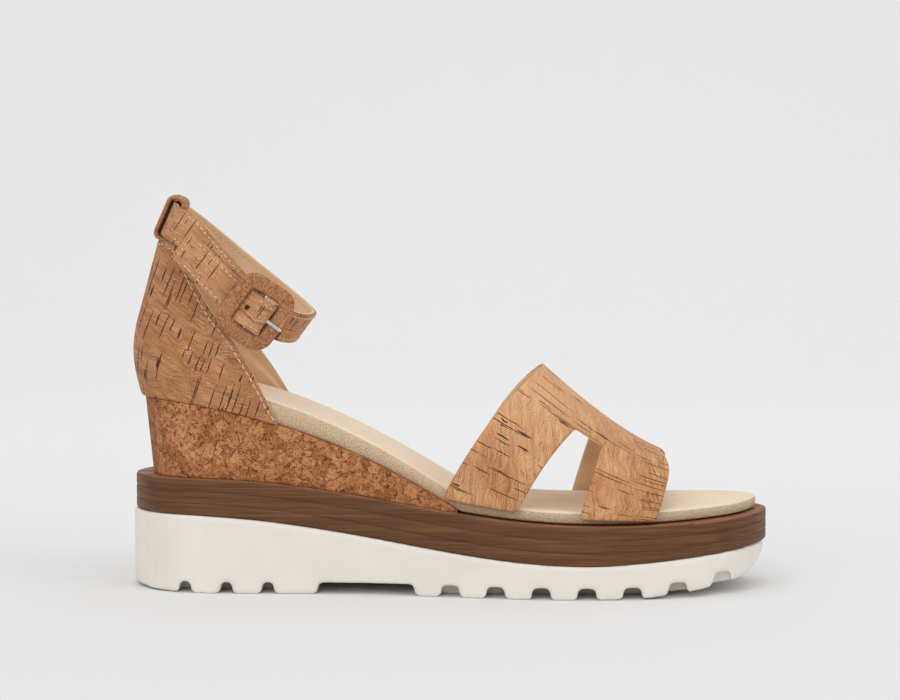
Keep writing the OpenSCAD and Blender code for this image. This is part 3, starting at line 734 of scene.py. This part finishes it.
def base_at(c):
    """The counter's foot, as c runs from its outer front end round the heel to the inner one."""
    side = -1 if c < 0.5 else 1
    a = abs(2 * c - 1)
    x = COUNTER_BACK + (COUNTER_FRONT[side] - COUNTER_BACK) * (1 - math.cos(a * math.pi / 2))
    return np.array([x, side * float(half_heel(x))])


def base_normal(c):
    t = base_at(min(1, c + 0.01)) - base_at(max(0, c - 0.01))
    t /= np.linalg.norm(t)
    return np.array([-t[1], t[0]])


COUNTER_DEPTH = 3.75           # the counter's layers and a little room
ROOM = np.array([base_at(c) - COUNTER_DEPTH * base_normal(c) for c in np.linspace(0, 1, 121)])


def inside_counter(pts):
    """Keeps an outline inside the heel counter."""
    pts = pts.copy()
    pts[:, 0] = np.maximum(pts[:, 0], ROOM[:, 0].min())
    for side in (-1, 1):
        wall = ROOM[ROOM[:, 1] * side >= 0]
        wall = wall[np.argsort(wall[:, 0])]
        mine = (pts[:, 1] * side > 0) & (pts[:, 0] < wall[-1, 0])
        limit = np.interp(pts[mine, 0], wall[:, 0], np.abs(wall[:, 1]))
        pts[mine, 1] = side * np.minimum(np.abs(pts[mine, 1]), limit)
    return pts


FOOTBED_EDGE = FOOTBED_INSET + CORK + LINING + 0.3
footbed_line = inset(FOOTBED_EDGE)
footbed_line[:, 0] += 2.2 * smooth((footbed_line[:, 0] - 182) / 22)
footbed_line = inside_counter(footbed_line)

# Distances inwards and shares of the height: the side swells and the cover folds over it
FOOTBED_PROFILE = [
    (1.0, 0.0), (0.25, 0.04), (0.0, 0.14), (-0.25, 0.4), (-0.25, 0.62), (0.0, 0.82), (0.35, 0.93),
    (0.9, 0.99), (1.6, 1.01), (2.6, 1.0)]


def footbed_dish(x, t):
    """The footbed's top is hollowed for the heel and swells a little behind the ball."""
    hollow = -0.8 * fall(x, 5, 60) * (1 - t * t)
    return hollow + 0.5 * (1 - t * t) * np.exp(-((x - 95) / 30) ** 2)


footbed_rings = [ring(0, between(seat, footbed_top, h), 260, pts=shrunk(footbed_line, d))
                 for d, h in FOOTBED_PROFILE]
footbed = slab("footbed", footbed_rings, across=16, crown=footbed_dish)
paint(footbed, "suede_top", "suede_side")
for poly in footbed.data.polygons:
    if poly.normal.z < 0.55:
        poly.material_index = 1
add_piece(footbed, "sandal", "suede_cream", "footbed_cover")

# ---------- vamp ----------

ARCH = 2 / 2.3                 # the power of the superellipse over the forefoot
CUT_B = 48.0                   # in degrees round the arch: the cut-outs end here


def up(b):
    """How far up the arch an angle is, from 0 at the sole to 1 at the top."""
    return np.sin(np.radians(np.minimum(b, 180 - b)))


def instep(x):
    """The height of the arch's top."""
    back = 88.6 + 0.75 * (128 - x)
    front = 53 + 35.6 * (np.maximum(0, 180 - x) / 52) ** 1.35
    return np.where(x < 128, back, front)


HALF = halves(OUTLINE, 600)


def half_width(x, side):
    line = HALF[0] if side < 0 else HALF[1]
    order = np.argsort(line[:, 0])
    return float(np.interp(x, line[order, 0], np.abs(line[order, 1])))


def vamp_edges(b):
    """Where the vamp starts, its cut-out starts and ends, and the vamp ends, on the arch's angle b."""
    u = up(b)
    return np.array([
        87 + 41 * u ** 0.9 + (3.5 * (1 - u) if b > 90 else 0),
        116.5 + 22.5 * (u / 0.67) ** 0.85,
        141.5 + 10.5 * (u / 0.787) ** 0.8 - (3 if b > 90 else 0),
        171.5 + 7.8 * u ** 0.7 - 4 * u ** 12])


def vamp_point(x, b, d):
    """A point d inside the arch."""
    side = -1 if b < 90 else 1
    rad = math.radians(b)
    c, s = abs(math.cos(rad)) ** ARCH, math.sin(rad) ** ARCH
    low = midsole_top(x) + GAP
    w = half_width(x, side) - FOOTBED_INSET + 1.6
    rise = float(instep(x)) - low
    n = np.array([c / w, s / rise])
    n /= np.linalg.norm(n)
    return [x, side * (w * c - d * n[0]), low + rise * s - d * n[1]]


LEGS = (14, 9, 14)             # cells along the rear leg, the cut-out and the front leg
SIDE_CELLS, TOP_CELLS = 22, 34
vamp_bs = np.concatenate([
    np.linspace(2, CUT_B, SIDE_CELLS + 1),
    np.linspace(CUT_B, 180 - CUT_B, TOP_CELLS + 1)[1:-1],
    np.linspace(180 - CUT_B, 178, SIDE_CELLS + 1)])


def vamp_x(b, k):
    """Where the grid's row k lies at the angle b. Above the cut-outs the rows spread out evenly."""
    marks = [0, LEGS[0], LEGS[0] + LEGS[1], sum(LEGS)]
    edges = vamp_edges(b)
    if b <= CUT_B or b >= 180 - CUT_B:
        return float(np.interp(k, marks, edges))
    cut = vamp_edges(CUT_B if b < 90 else 180 - CUT_B)
    f = k / marks[3]
    x = float(np.interp(k, marks, cut)) + (edges[0] - cut[0]) * (1 - f) + (edges[3] - cut[3]) * f
    t = float(smooth((up(b) - up(CUT_B)) / (1 - up(CUT_B))))
    return x * (1 - t) + (edges[0] * (1 - f) + edges[3] * f) * t


def vamp_keep(k, j):
    return k < LEGS[0] or k >= LEGS[0] + LEGS[1] or SIDE_CELLS <= j < len(vamp_bs) - SIDE_CELLS - 1


def vamp_grid(d):
    return np.array([[vamp_point(vamp_x(b, k), b, d) for b in vamp_bs] for k in range(sum(LEGS) + 1)])


# The vamp's pattern runs along the foot, turned down towards the sole, and differs on its two sides
vamp_outer = vamp_grid(0)
across_run = run_of(vamp_outer[LEGS[0]])
middle_run = across_run[-1] / 2
vamp_run = middle_run - np.abs(across_run - middle_run)
vamp_run = np.broadcast_to(vamp_run, vamp_outer.shape[:2])
vamp_turn = 0.26 - 0.34 * vamp_run / middle_run
vamp_uv = np.stack([vamp_outer[:, :, 0] - 0.5 * vamp_turn * vamp_run,
                    vamp_run + vamp_turn * (vamp_outer[:, :, 0] - 150)], -1)
vamp_uv[:, len(vamp_bs) // 2:, 1] += 37
vamp = sheet("vamp", vamp_outer, vamp_grid(CORK), vamp_keep, vamp_uv)
add_smooth(vamp, "cork_vamp", "cork_fabric", "vamp_cover")
vamp_in = sheet("vamp_inner", vamp_grid(CORK + GAP), vamp_grid(CORK + GAP + LINING), vamp_keep, vamp_uv)
add_smooth(vamp_in, "lining_beige", "lining_beige", "vamp_lining")

# ---------- heel counter ----------

def top_line(x, side):
    """The counter's top edge: level at the back, then straight down to its front ends."""
    front = 1 - (max(x, 0) / COUNTER_FRONT[side]) ** 1.5
    return min(COUNTER_TOP, 66 + 35 * front + 0.85 * (math.sqrt(x * x + 49) - x))


def counter_top(c):
    """The top edge above the counter's foot at c."""
    return top_line(base_at(c)[0] + 6 * base_normal(c)[0] ** 2, -1 if c < 0.5 else 1)


BULGE = 36                     # the back bulges up to this height and leans in above it


def counter_point(c, v, d):
    """A point at c round the heel and v up, d inside the counter's outer face."""
    p, n = base_at(c), base_normal(c)
    z0 = float(wedge_curve(p[0])) + GAP
    z = z0 + (counter_top(c) - z0) * v
    h = z - z0
    back = 3.3 * math.sin(math.pi * h / BULGE) if h < BULGE else -0.27 * (h - BULGE)
    flank = 1.6 * math.sin(math.pi * min(1, h / BULGE)) - 0.16 * h
    out = n[0] ** 2 * back + n[1] ** 2 * flank - d
    return [p[0] + out * n[0], p[1] + out * n[1], z]


COLUMNS, ROWS = 90, 32


def counter_grid(d):
    vs = 1 - (1 - np.linspace(0, 1, ROWS + 1)) ** 1.15
    return np.array([[counter_point(j / COLUMNS, v, d(v)) for j in range(COLUMNS + 1)] for v in vs])


def stiffener_pocket(v):
    return (1 + GAP) * (1 - float(smooth((v - 0.6) / 0.15)))


counter_outer = counter_grid(lambda v: 0)
counter_run = run_of(counter_outer[0])
back_run = np.broadcast_to(counter_run - counter_run[-1] / 2, counter_outer.shape[:2])
height = counter_outer[:, :, 2] - 75
slant = -0.34 * np.sin(np.clip(back_run / 50, -1, 1) * math.pi / 2)
counter_uv = np.stack([height - slant * back_run, back_run + slant * height], -1)
counter = sheet("counter", counter_outer, counter_grid(lambda v: CORK), uv=counter_uv)
add_smooth(counter, "cork_counter", "cork_fabric", "counter_cover")
counter_in = sheet("counter_inner", counter_grid(lambda v: CORK + GAP + stiffener_pocket(v)),
                   counter_grid(lambda v: CORK + GAP + stiffener_pocket(v) + LINING))
add_smooth(counter_in, "lining_beige", "lining_beige", "counter_lining")

# ---------- ankle strap ----------

# The strap lies round a superellipse in a plane that slopes down to the front from the heel loop.
# u runs to the front, w is up across the strap, and th goes from the back round the outer side.
SLOPE = math.radians(36.5)
LEAN = math.radians(13)        # the strap leans outwards at the back
WIDTH = 13.6
tilt = next(j for j in frame["joints"] if j["name"] == "strap_tilt")
LOOP = np.array(tilt["pos_m"]) / MM
RING_A, RING_B, RING_P = 34.2, 27.5, 2.8
BUCKLE_U = 49.8
BUCKLE_W = -7.1
WINDOW_W = -7.5                # the strap in the buckle's window
FRONT_W = -3.4
LOOP_TH, FRONT_TH = 15.0, 147.0
TIP_U = 12.3                   # where the free end stops
HALF_T = (CORK + LINING) / 2


def to_world(p):
    """Points of the strap's frame in the world, in millimetres."""
    p = np.asarray(p, float)
    c, s = math.cos(SLOPE), math.sin(SLOPE)
    return np.stack([p[..., 0] * c + p[..., 2] * s, p[..., 1], -p[..., 0] * s + p[..., 2] * c], -1) + LOOP


def spow(v, e):
    """A power that keeps the sign of v."""
    return math.copysign(abs(v) ** e, v)


def ring_at(th):
    r = math.radians(th)
    return np.array([RING_A * (1 - spow(math.cos(r), 2 / RING_P)), -RING_B * spow(math.sin(r), 2 / RING_P)])


def ring_normal(th):
    p = ring_at(th)
    n = np.array([spow(p[0] / RING_A - 1, RING_P - 1) / RING_A, spow(p[1] / RING_B, RING_P - 1) / RING_B])
    return n / np.linalg.norm(n)


def th_at(u):
    return math.degrees(math.acos(spow(1 - u / RING_A, RING_P / 2)))


BUCKLE_TH = th_at(BUCKLE_U)


def long_w(th):
    if th < 180:
        return WINDOW_W + (FRONT_W - WINDOW_W) * float(smooth((th - BUCKLE_TH) / (180 - BUCKLE_TH)))
    return FRONT_W * (1 - (1 - ring_at(th)[0] / (2 * RING_A)) ** 2.2)


def buckle_strap_w(th):
    u = ring_at(th)[0]
    return 1.4 * float(smooth(u / 9)) - 0.215 * max(0, u - 12)


def tip_w(th):
    u = ring_at(th)[0]
    if u > BUCKLE_U:
        return long_w(th)
    return -3.2 + (WINDOW_W + 3.2) * float(smooth((u - 6) / (BUCKLE_U - 10)))


def strap_lean(th):
    return LEAN * (1 - float(smooth(min(abs(th), 360 - th) / 70)))


def on_ring(th, lift, w):
    """A point of a strap's path, lifted off the ring: u, v, w and its lean."""
    p = ring_at(th) + ring_normal(th) * lift
    return [p[0], p[1], w, strap_lean(th)]


def spline(points, steps):
    """An open Catmull-Rom curve through points."""
    p = np.asarray(points, float)
    last = len(p) - 1
    return np.array([catmull(p[max(0, i - 1)], p[i], p[i + 1], p[min(last, i + 2)], j / steps)
                     for i in range(last) for j in range(steps)] + [p[-1]])


# Stations across a strap, and how its face sinks at the stitches and its edges
ACROSS = np.array([-1, -0.985, -0.93, -0.85, -0.76, -0.66, -0.4, 0, 0.4, 0.66, 0.76, 0.85, 0.93, 0.985, 1])
EDGE_SHAPE = {0.66: -0.02, 0.76: -0.12, 0.85: 0.03, 0.93: 0.03, 0.985: -0.05, 1.0: -0.22}


def path_frame(path):
    """The outward direction at each point of a path."""
    xy = path[:, :2]
    t = np.gradient(xy, axis=0)
    t /= np.linalg.norm(t, axis=1)[:, None]
    return np.stack([t[:, 1], -t[:, 0]], 1)


def strap_point(path, normals, i, t, a):
    """A point t outside the path's point i, at a across from -1 to 1."""
    h = a * WIDTH / 2
    q = path[i]
    xy = q[:2] + normals[i] * (t + h * math.sin(q[3]))
    return [xy[0], xy[1], q[2] + h * math.cos(q[3])]


def strap_grid(path, t, shape=0.0):
    normals = path_frame(path)
    n = len(path)
    grid = []
    for a in ACROSS:
        bend = shape * EDGE_SHAPE.get(round(abs(float(a)), 3), 0.0)
        grid.append([strap_point(path, normals, i, t + bend, float(a)) for i in range(n)])
    return to_world(np.array(grid))


def strap_uv(path):
    return np.stack(np.meshgrid(ACROSS * WIDTH / 2, run_of(path[:, :3]), indexing="ij"), -1)


def strap_pair(name, path):
    """The cover and the lining along a path."""
    outer = sheet(name + "_outer", strap_grid(path, HALF_T, 1.0), strap_grid(path, -HALF_T + LINING + 0.02),
                  uv=strap_uv(path))
    inner = sheet(name + "_inner", strap_grid(path, -HALF_T + LINING), strap_grid(path, -HALF_T, -1.0))
    for o, material in ((outer, "cork_strap"), (inner, "lining_beige")):
        subdivide(o)
        paint(o, material)
    return outer, inner


long_path = np.array([on_ring(th, 0, long_w(th)) for th in np.linspace(FRONT_TH, 360 - LOOP_TH, 120)])


def buckle_strap_lift(x):
    """The buckle strap rises to the bar."""
    return 2.25 * float(smooth((x + 7) / 6))


def lifted(x):
    th = th_at(BUCKLE_U + x)
    return on_ring(th, buckle_strap_lift(x), buckle_strap_w(th))


LIFT_U = 22                    # the buckle strap starts to rise after this
start_ths = np.linspace(LOOP_TH, th_at(LIFT_U), 30)
buckle_path = np.array([on_ring(th, 0, buckle_strap_w(th)) for th in start_ths]
                       + [lifted(x) for x in np.linspace(LIFT_U - BUCKLE_U, -0.5, 60)[1:]])
OVER = 5.68                    # the free end, where it passes over the bar
UNDER = -0.65                  # and where it passes under the buckle's front
TIP_PROFILE = spline([
    [-6.4, 2.4], [-5.6, 2.95], [-4.7, 3.75], [-3.7, 4.6], [-2.6, 5.27], [-1.4, OVER - 0.1], [0, OVER],
    [1.5, OVER], [2.6, OVER], [3.3, 5.5], [3.8, 5.05], [4.15, 4.3], [4.35, 3.2], [4.45, 2.1], [4.75, 1.0],
    [5.45, 0.1], [6.5, -0.5], [8, UNDER], [10, UNDER], [11.5, UNDER]], 3)


def tip_place(u, lift):
    th = th_at(u)
    return on_ring(th, lift, tip_w(th))


front_ths = np.linspace(th_at(BUCKLE_U + 12.2), FRONT_TH, 16)
tip_path = np.array([tip_place(u, CORK + LINING + 0.15) for u in np.linspace(TIP_U, BUCKLE_U - 7.4, 36)]
                    + [tip_place(BUCKLE_U + x, t) for x, t in TIP_PROFILE]
                    + [on_ring(th, UNDER * (1 - float(smooth((th - th_at(BUCKLE_U + 12)) / 9))), tip_w(th))
                       for th in front_ths])
whole_long = np.concatenate([tip_path, long_path[1:]])


def bar_frame(p):
    """Points in the buckle's frame: x along the strap, -y outwards, z across."""
    p = np.asarray(p, float)
    n = ring_normal(BUCKLE_TH)
    a = math.atan2(n[1], n[0]) + math.pi / 2
    c, s = math.cos(a), math.sin(a)
    base = ring_at(BUCKLE_TH)
    return np.stack([base[0] + p[..., 0] * c - p[..., 1] * s, base[1] + p[..., 0] * s + p[..., 1] * c,
                     BUCKLE_W + p[..., 2]], -1)


def cutter(start, end, r):
    """A cylinder in world millimetres, for punching a hole."""
    a, b = to_world(bar_frame(start)), to_world(bar_frame(end))
    d = Vector(b - a)
    bm = bmesh.new()
    bmesh.ops.create_cone(bm, cap_ends=True, segments=28, radius1=r * MM, radius2=r * MM, depth=d.length * MM)
    mesh = bpy.data.meshes.new("cutter")
    bm.to_mesh(mesh)
    bm.free()
    o = link("cutter", mesh)
    o.rotation_mode = "QUATERNION"
    o.rotation_quaternion = d.to_track_quat("Z", "Y")
    o.location = Vector((a + b) / 2) * MM
    return o


def punch(o, cutters):
    for c in cutters:
        m = o.modifiers.new("hole", "BOOLEAN")
        m.object = c
        m.operation = "DIFFERENCE"
        m.solver = "EXACT"
    bpy.context.view_layer.update()
    apply_modifiers(o)


# The strap's holes, and the groove that the prong lies in. The lining closes the hole over the prong.
DROP = WINDOW_W - BUCKLE_W
HOLES = (2.4, -3.8)            # along the strap from the bar
HOLE_R = 1.1
holes = [cutter((x, -12, DROP), (x, 0.5, DROP), HOLE_R) for x in HOLES]
holes.append(cutter((1, -3.7, DROP), (11.6, -4.68, DROP), 1.05))
long_outer, long_inner = strap_pair("strap_long", whole_long)
punch(long_outer, holes)
punch(long_inner, holes[1:])
for h in holes:
    bpy.data.objects.remove(h)
buckle_outer, buckle_inner = strap_pair("strap_short", buckle_path)


# Both straps' covers and linings are baked into place, and the CAD nodes that they stand for are hidden
for o, body, slot_name, *replaced in (
        (long_outer, "long_strap", "cork_fabric", "long_strap_cover", "strap_tip_cover"),
        (long_inner, "long_strap", "lining_beige", "long_strap_lining", "strap_tip_lining"),
        (buckle_outer, "buckle_strap", "cork_fabric", "buckle_strap_cover"),
        (buckle_inner, "buckle_strap", "lining_beige", "buckle_strap_lining")):
    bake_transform(o)
    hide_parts(*replaced)

# ---------- heel loop ----------

LOOP_ROOM = (4.3, 15.4)
# The band's section: distances out from the room and across the sandal
LOOP_EDGE = [
    (0, -7.8), (0.15, -8.3), (0.6, -8.6), (1.2, -8.6), (1.65, -8.3), (1.8, -7.6), (1.9, -3),
    (1.9, 3), (1.8, 7.6), (1.65, 8.3), (1.2, 8.6), (0.6, 8.6), (0.15, 8.3), (0, 7.8), (0, 3), (0, -3)]


def heel_loop_mesh():
    """A padded band round the strap at the top of the counter."""
    corner, shift = 1.3, 0.2
    lean = math.cos(LEAN), math.sin(LEAN)
    verts, faces = [], []
    n = len(LOOP_EDGE)
    turns = [(q, a) for q in range(4) for a in np.linspace(0, 90, 9)]
    for q, a in turns:
        a = math.radians(90 * q + a)
        x0 = (LOOP_ROOM[0] / 2 - corner) * (1, -1, -1, 1)[q]
        z0 = (LOOP_ROOM[1] / 2 - corner) * (1, 1, -1, -1)[q]
        for out, across in LOOP_EDGE:
            x = x0 + (corner + out) * math.cos(a) + shift
            z = z0 + (corner + out) * math.sin(a)
            verts.append([x * lean[0] - z * lean[1], across, x * lean[1] + z * lean[0]])
    count = len(turns)
    for k in range(count):
        for q in range(n):
            a, b = k * n + q, k * n + (q + 1) % n
            c, d = (k + 1) % count * n + (q + 1) % n, (k + 1) % count * n + q
            faces.append((a, d, c, b))
    return new_object("heel_loop_band", to_world(np.array(verts)), faces)


add_smooth(tidy(heel_loop_mesh()), "buckle_cork", SLOT_OF["heel_loop"], "heel_loop")

# ---------- stitches ----------

def stitch_mesh(name, points, normals, pitch=2.9, length=2.1, r=0.3):
    """A row of small thread loops along a line, lying on the surface."""
    points, normals = np.asarray(points, float), np.asarray(normals, float)
    run = run_of(points)
    verts, faces = [], []
    count = int(run[-1] // pitch)
    for k in range(count):
        mid = (k + 0.5) * run[-1] / count
        at = [np.array([np.interp(mid + e, run, points[:, i]) for i in range(3)]) for e in (-0.2, 0, 0.2)]
        n = np.array([np.interp(mid, run, normals[:, i]) for i in range(3)])
        n /= np.linalg.norm(n)
        t = at[2] - at[0]
        t /= np.linalg.norm(t)
        b = np.cross(n, t)
        base = len(verts)
        rings = [(-0.5, 0.15), (-0.42, 0.75), (-0.2, 1.0), (0.2, 1.0), (0.42, 0.75), (0.5, 0.15)]
        for f, g in rings:
            sink = -0.16 * (abs(f) * 2) ** 3
            for q in range(8):
                a = q * math.pi / 4
                verts.append(at[1] + t * f * length + b * math.cos(a) * r * g
                             + n * (math.sin(a) * r * 0.8 * g + sink))
        for m in range(len(rings) - 1):
            for q in range(8):
                p0, p1 = base + m * 8 + q, base + m * 8 + (q + 1) % 8
                faces.append((p0, p1, p1 + 8, p0 + 8))
        faces.append(tuple(base + q for q in range(7, -1, -1)))
        faces.append(tuple(base + 40 + q for q in range(8)))
    o = new_object(name, verts, faces)
    paint(o, "thread")
    return o


def counter_line(offset):
    """Points and normals of a line on the counter, a distance below its top edge."""
    pts, nrm = [], []
    for c in np.linspace(0.004, 0.996, 240):
        p, n = base_at(c), base_normal(c)
        slope = math.hypot(1, 1.6) if c < 0.36 or c > 0.64 else 1.0
        v = 1 - offset * slope / max(8.0, counter_top(c) - float(wedge_curve(p[0])))
        pts.append(counter_point(c, v, -0.08))
        nrm.append([n[0], n[1], 0.0])
    return pts, nrm


add_piece(stitch_mesh("stitch_counter", *counter_line(1.7)), "sandal", "cork_fabric")


def world_normals(normals):
    """Directions in the strap's plane, turned to the world."""
    n = np.asarray(normals)
    return np.stack([n[:, 0] * math.cos(SLOPE), n[:, 1], -n[:, 0] * math.sin(SLOPE)], -1)


def strap_line(path, first, last, across, lift=0.0):
    """A line along a strap's cover."""
    normals = path_frame(path)
    pts = [strap_point(path, normals, i, HALF_T + lift, across) for i in range(first, last)]
    return to_world(np.array(pts)), world_normals(normals[first:last])


STITCH_AT = 0.76


def inner_line(path, first, last, across):
    """A line on the strap's lining."""
    pts, out = strap_line(path, first, last, across, -2 * HALF_T)
    return pts, -out


# Rows of stitches along both edges, each from one point of a path to another
EDGES = (-STITCH_AT, STITCH_AT)
REAR = (len(tip_path) - 18, len(whole_long) - 10)
long_rows = [strap_line(whole_long, *part, at) for at in EDGES for part in ((6, 34), REAR)]
long_rows += [strap_line(whole_long, 50, 14 + len(TIP_PROFILE), at) for at in EDGES]
# One row crosses the strap at its free end
end_normals = path_frame(whole_long)
end_row = [strap_point(whole_long, end_normals, 2, HALF_T, a) for a in np.linspace(-0.7, 0.7, 20)]
long_rows.append((to_world(np.array(end_row)), world_normals([end_normals[2]] * len(end_row))))
long_rows += [inner_line(whole_long, *REAR, at) for at in EDGES]
short_rows = [strap_line(buckle_path, 14, len(buckle_path) - 22, at) for at in EDGES]
for label, body, rows in (("long", "long_strap", long_rows), ("short", "buckle_strap", short_rows)):
    for k, (points, normals) in enumerate(rows):
        row = stitch_mesh("stitch_%s_%d" % (label, k), points, normals, pitch=2.3, length=1.6, r=0.28)
        add_piece(row, body, "cork_fabric")

# ---------- stage ----------

def backdrop():
    """A pale floor that curves up into the wall."""
    verts, faces = [], []
    profile = [(-3000, 0), (900, 0)]
    for k in range(1, 13):
        a = k / 12 * math.pi / 2
        profile.append((900 + 1200 * math.sin(a), 1200 * (1 - math.cos(a))))
    profile.append((2100, 5000))
    for y, z in profile:
        verts += [(-5000, y, z), (5000, y, z)]
    for k in range(len(profile) - 1):
        faces.append((2 * k, 2 * k + 1, 2 * k + 3, 2 * k + 2))
    o = new_object("backdrop", verts, faces)
    s = Shader("backdrop", roughness=0.9, specular=0.1)
    # Painted light: the floor is painted darker near the front, where the lamps light it most, and paler towards
    # the wall, where less light falls, so that it renders evenly bright
    depth = s.split(s.place(), 1)
    s.set("Base Color", s.mix(s.remap(depth, -400, 1000), (226, 226, 226), (249, 249, 249)))
    o.data.materials.append(s.mat)


backdrop()


CENTRE = Vector((0.09, 0, 0.07))


def area(name, place, size, power):
    """A soft light on the sandal from a place in metres, with its power in watts."""
    light = bpy.data.lights.new(name, "AREA")
    light.shape = "RECTANGLE"
    light.size, light.size_y = size
    light.energy = power
    o = link(name, light)
    o.location = place
    o.rotation_euler = (CENTRE - Vector(place)).to_track_quat("-Z", "Y").to_euler()


area("top", (0.1, -0.1, 1.7), (2.2, 2.2), 13.6)
area("front", (-0.5, -1.8, 1.0), (1.6, 1.2), 12.7)
area("fill", (1.5, -0.9, 0.8), (1.2, 1.2), 5.1)
world = bpy.data.worlds.new("studio")
bpy.context.scene.world = world
world.use_nodes = True
background = world.node_tree.nodes["Background"]
background.inputs["Color"].default_value = (1, 1, 1, 1)
background.inputs["Strength"].default_value = 0.53
bpy.context.scene.view_settings.view_transform = "Standard"

AZIMUTH, ELEVATION, DISTANCE = math.radians(2), math.radians(4), 1.25
TARGET = Vector((0.091, 0, 0.0938))
back = Vector((math.sin(AZIMUTH) * math.cos(ELEVATION), -math.cos(AZIMUTH) * math.cos(ELEVATION),
               math.sin(ELEVATION)))
camera_data = bpy.data.cameras.new("camera")
camera_data.lens = 125
camera_data.sensor_width = 36
camera_data.clip_end = 20
camera = link("camera", camera_data)
camera.location = TARGET + back * DISTANCE
camera.rotation_euler = (-back).to_track_quat("-Z", "Y").to_euler()
bpy.context.scene.camera = camera
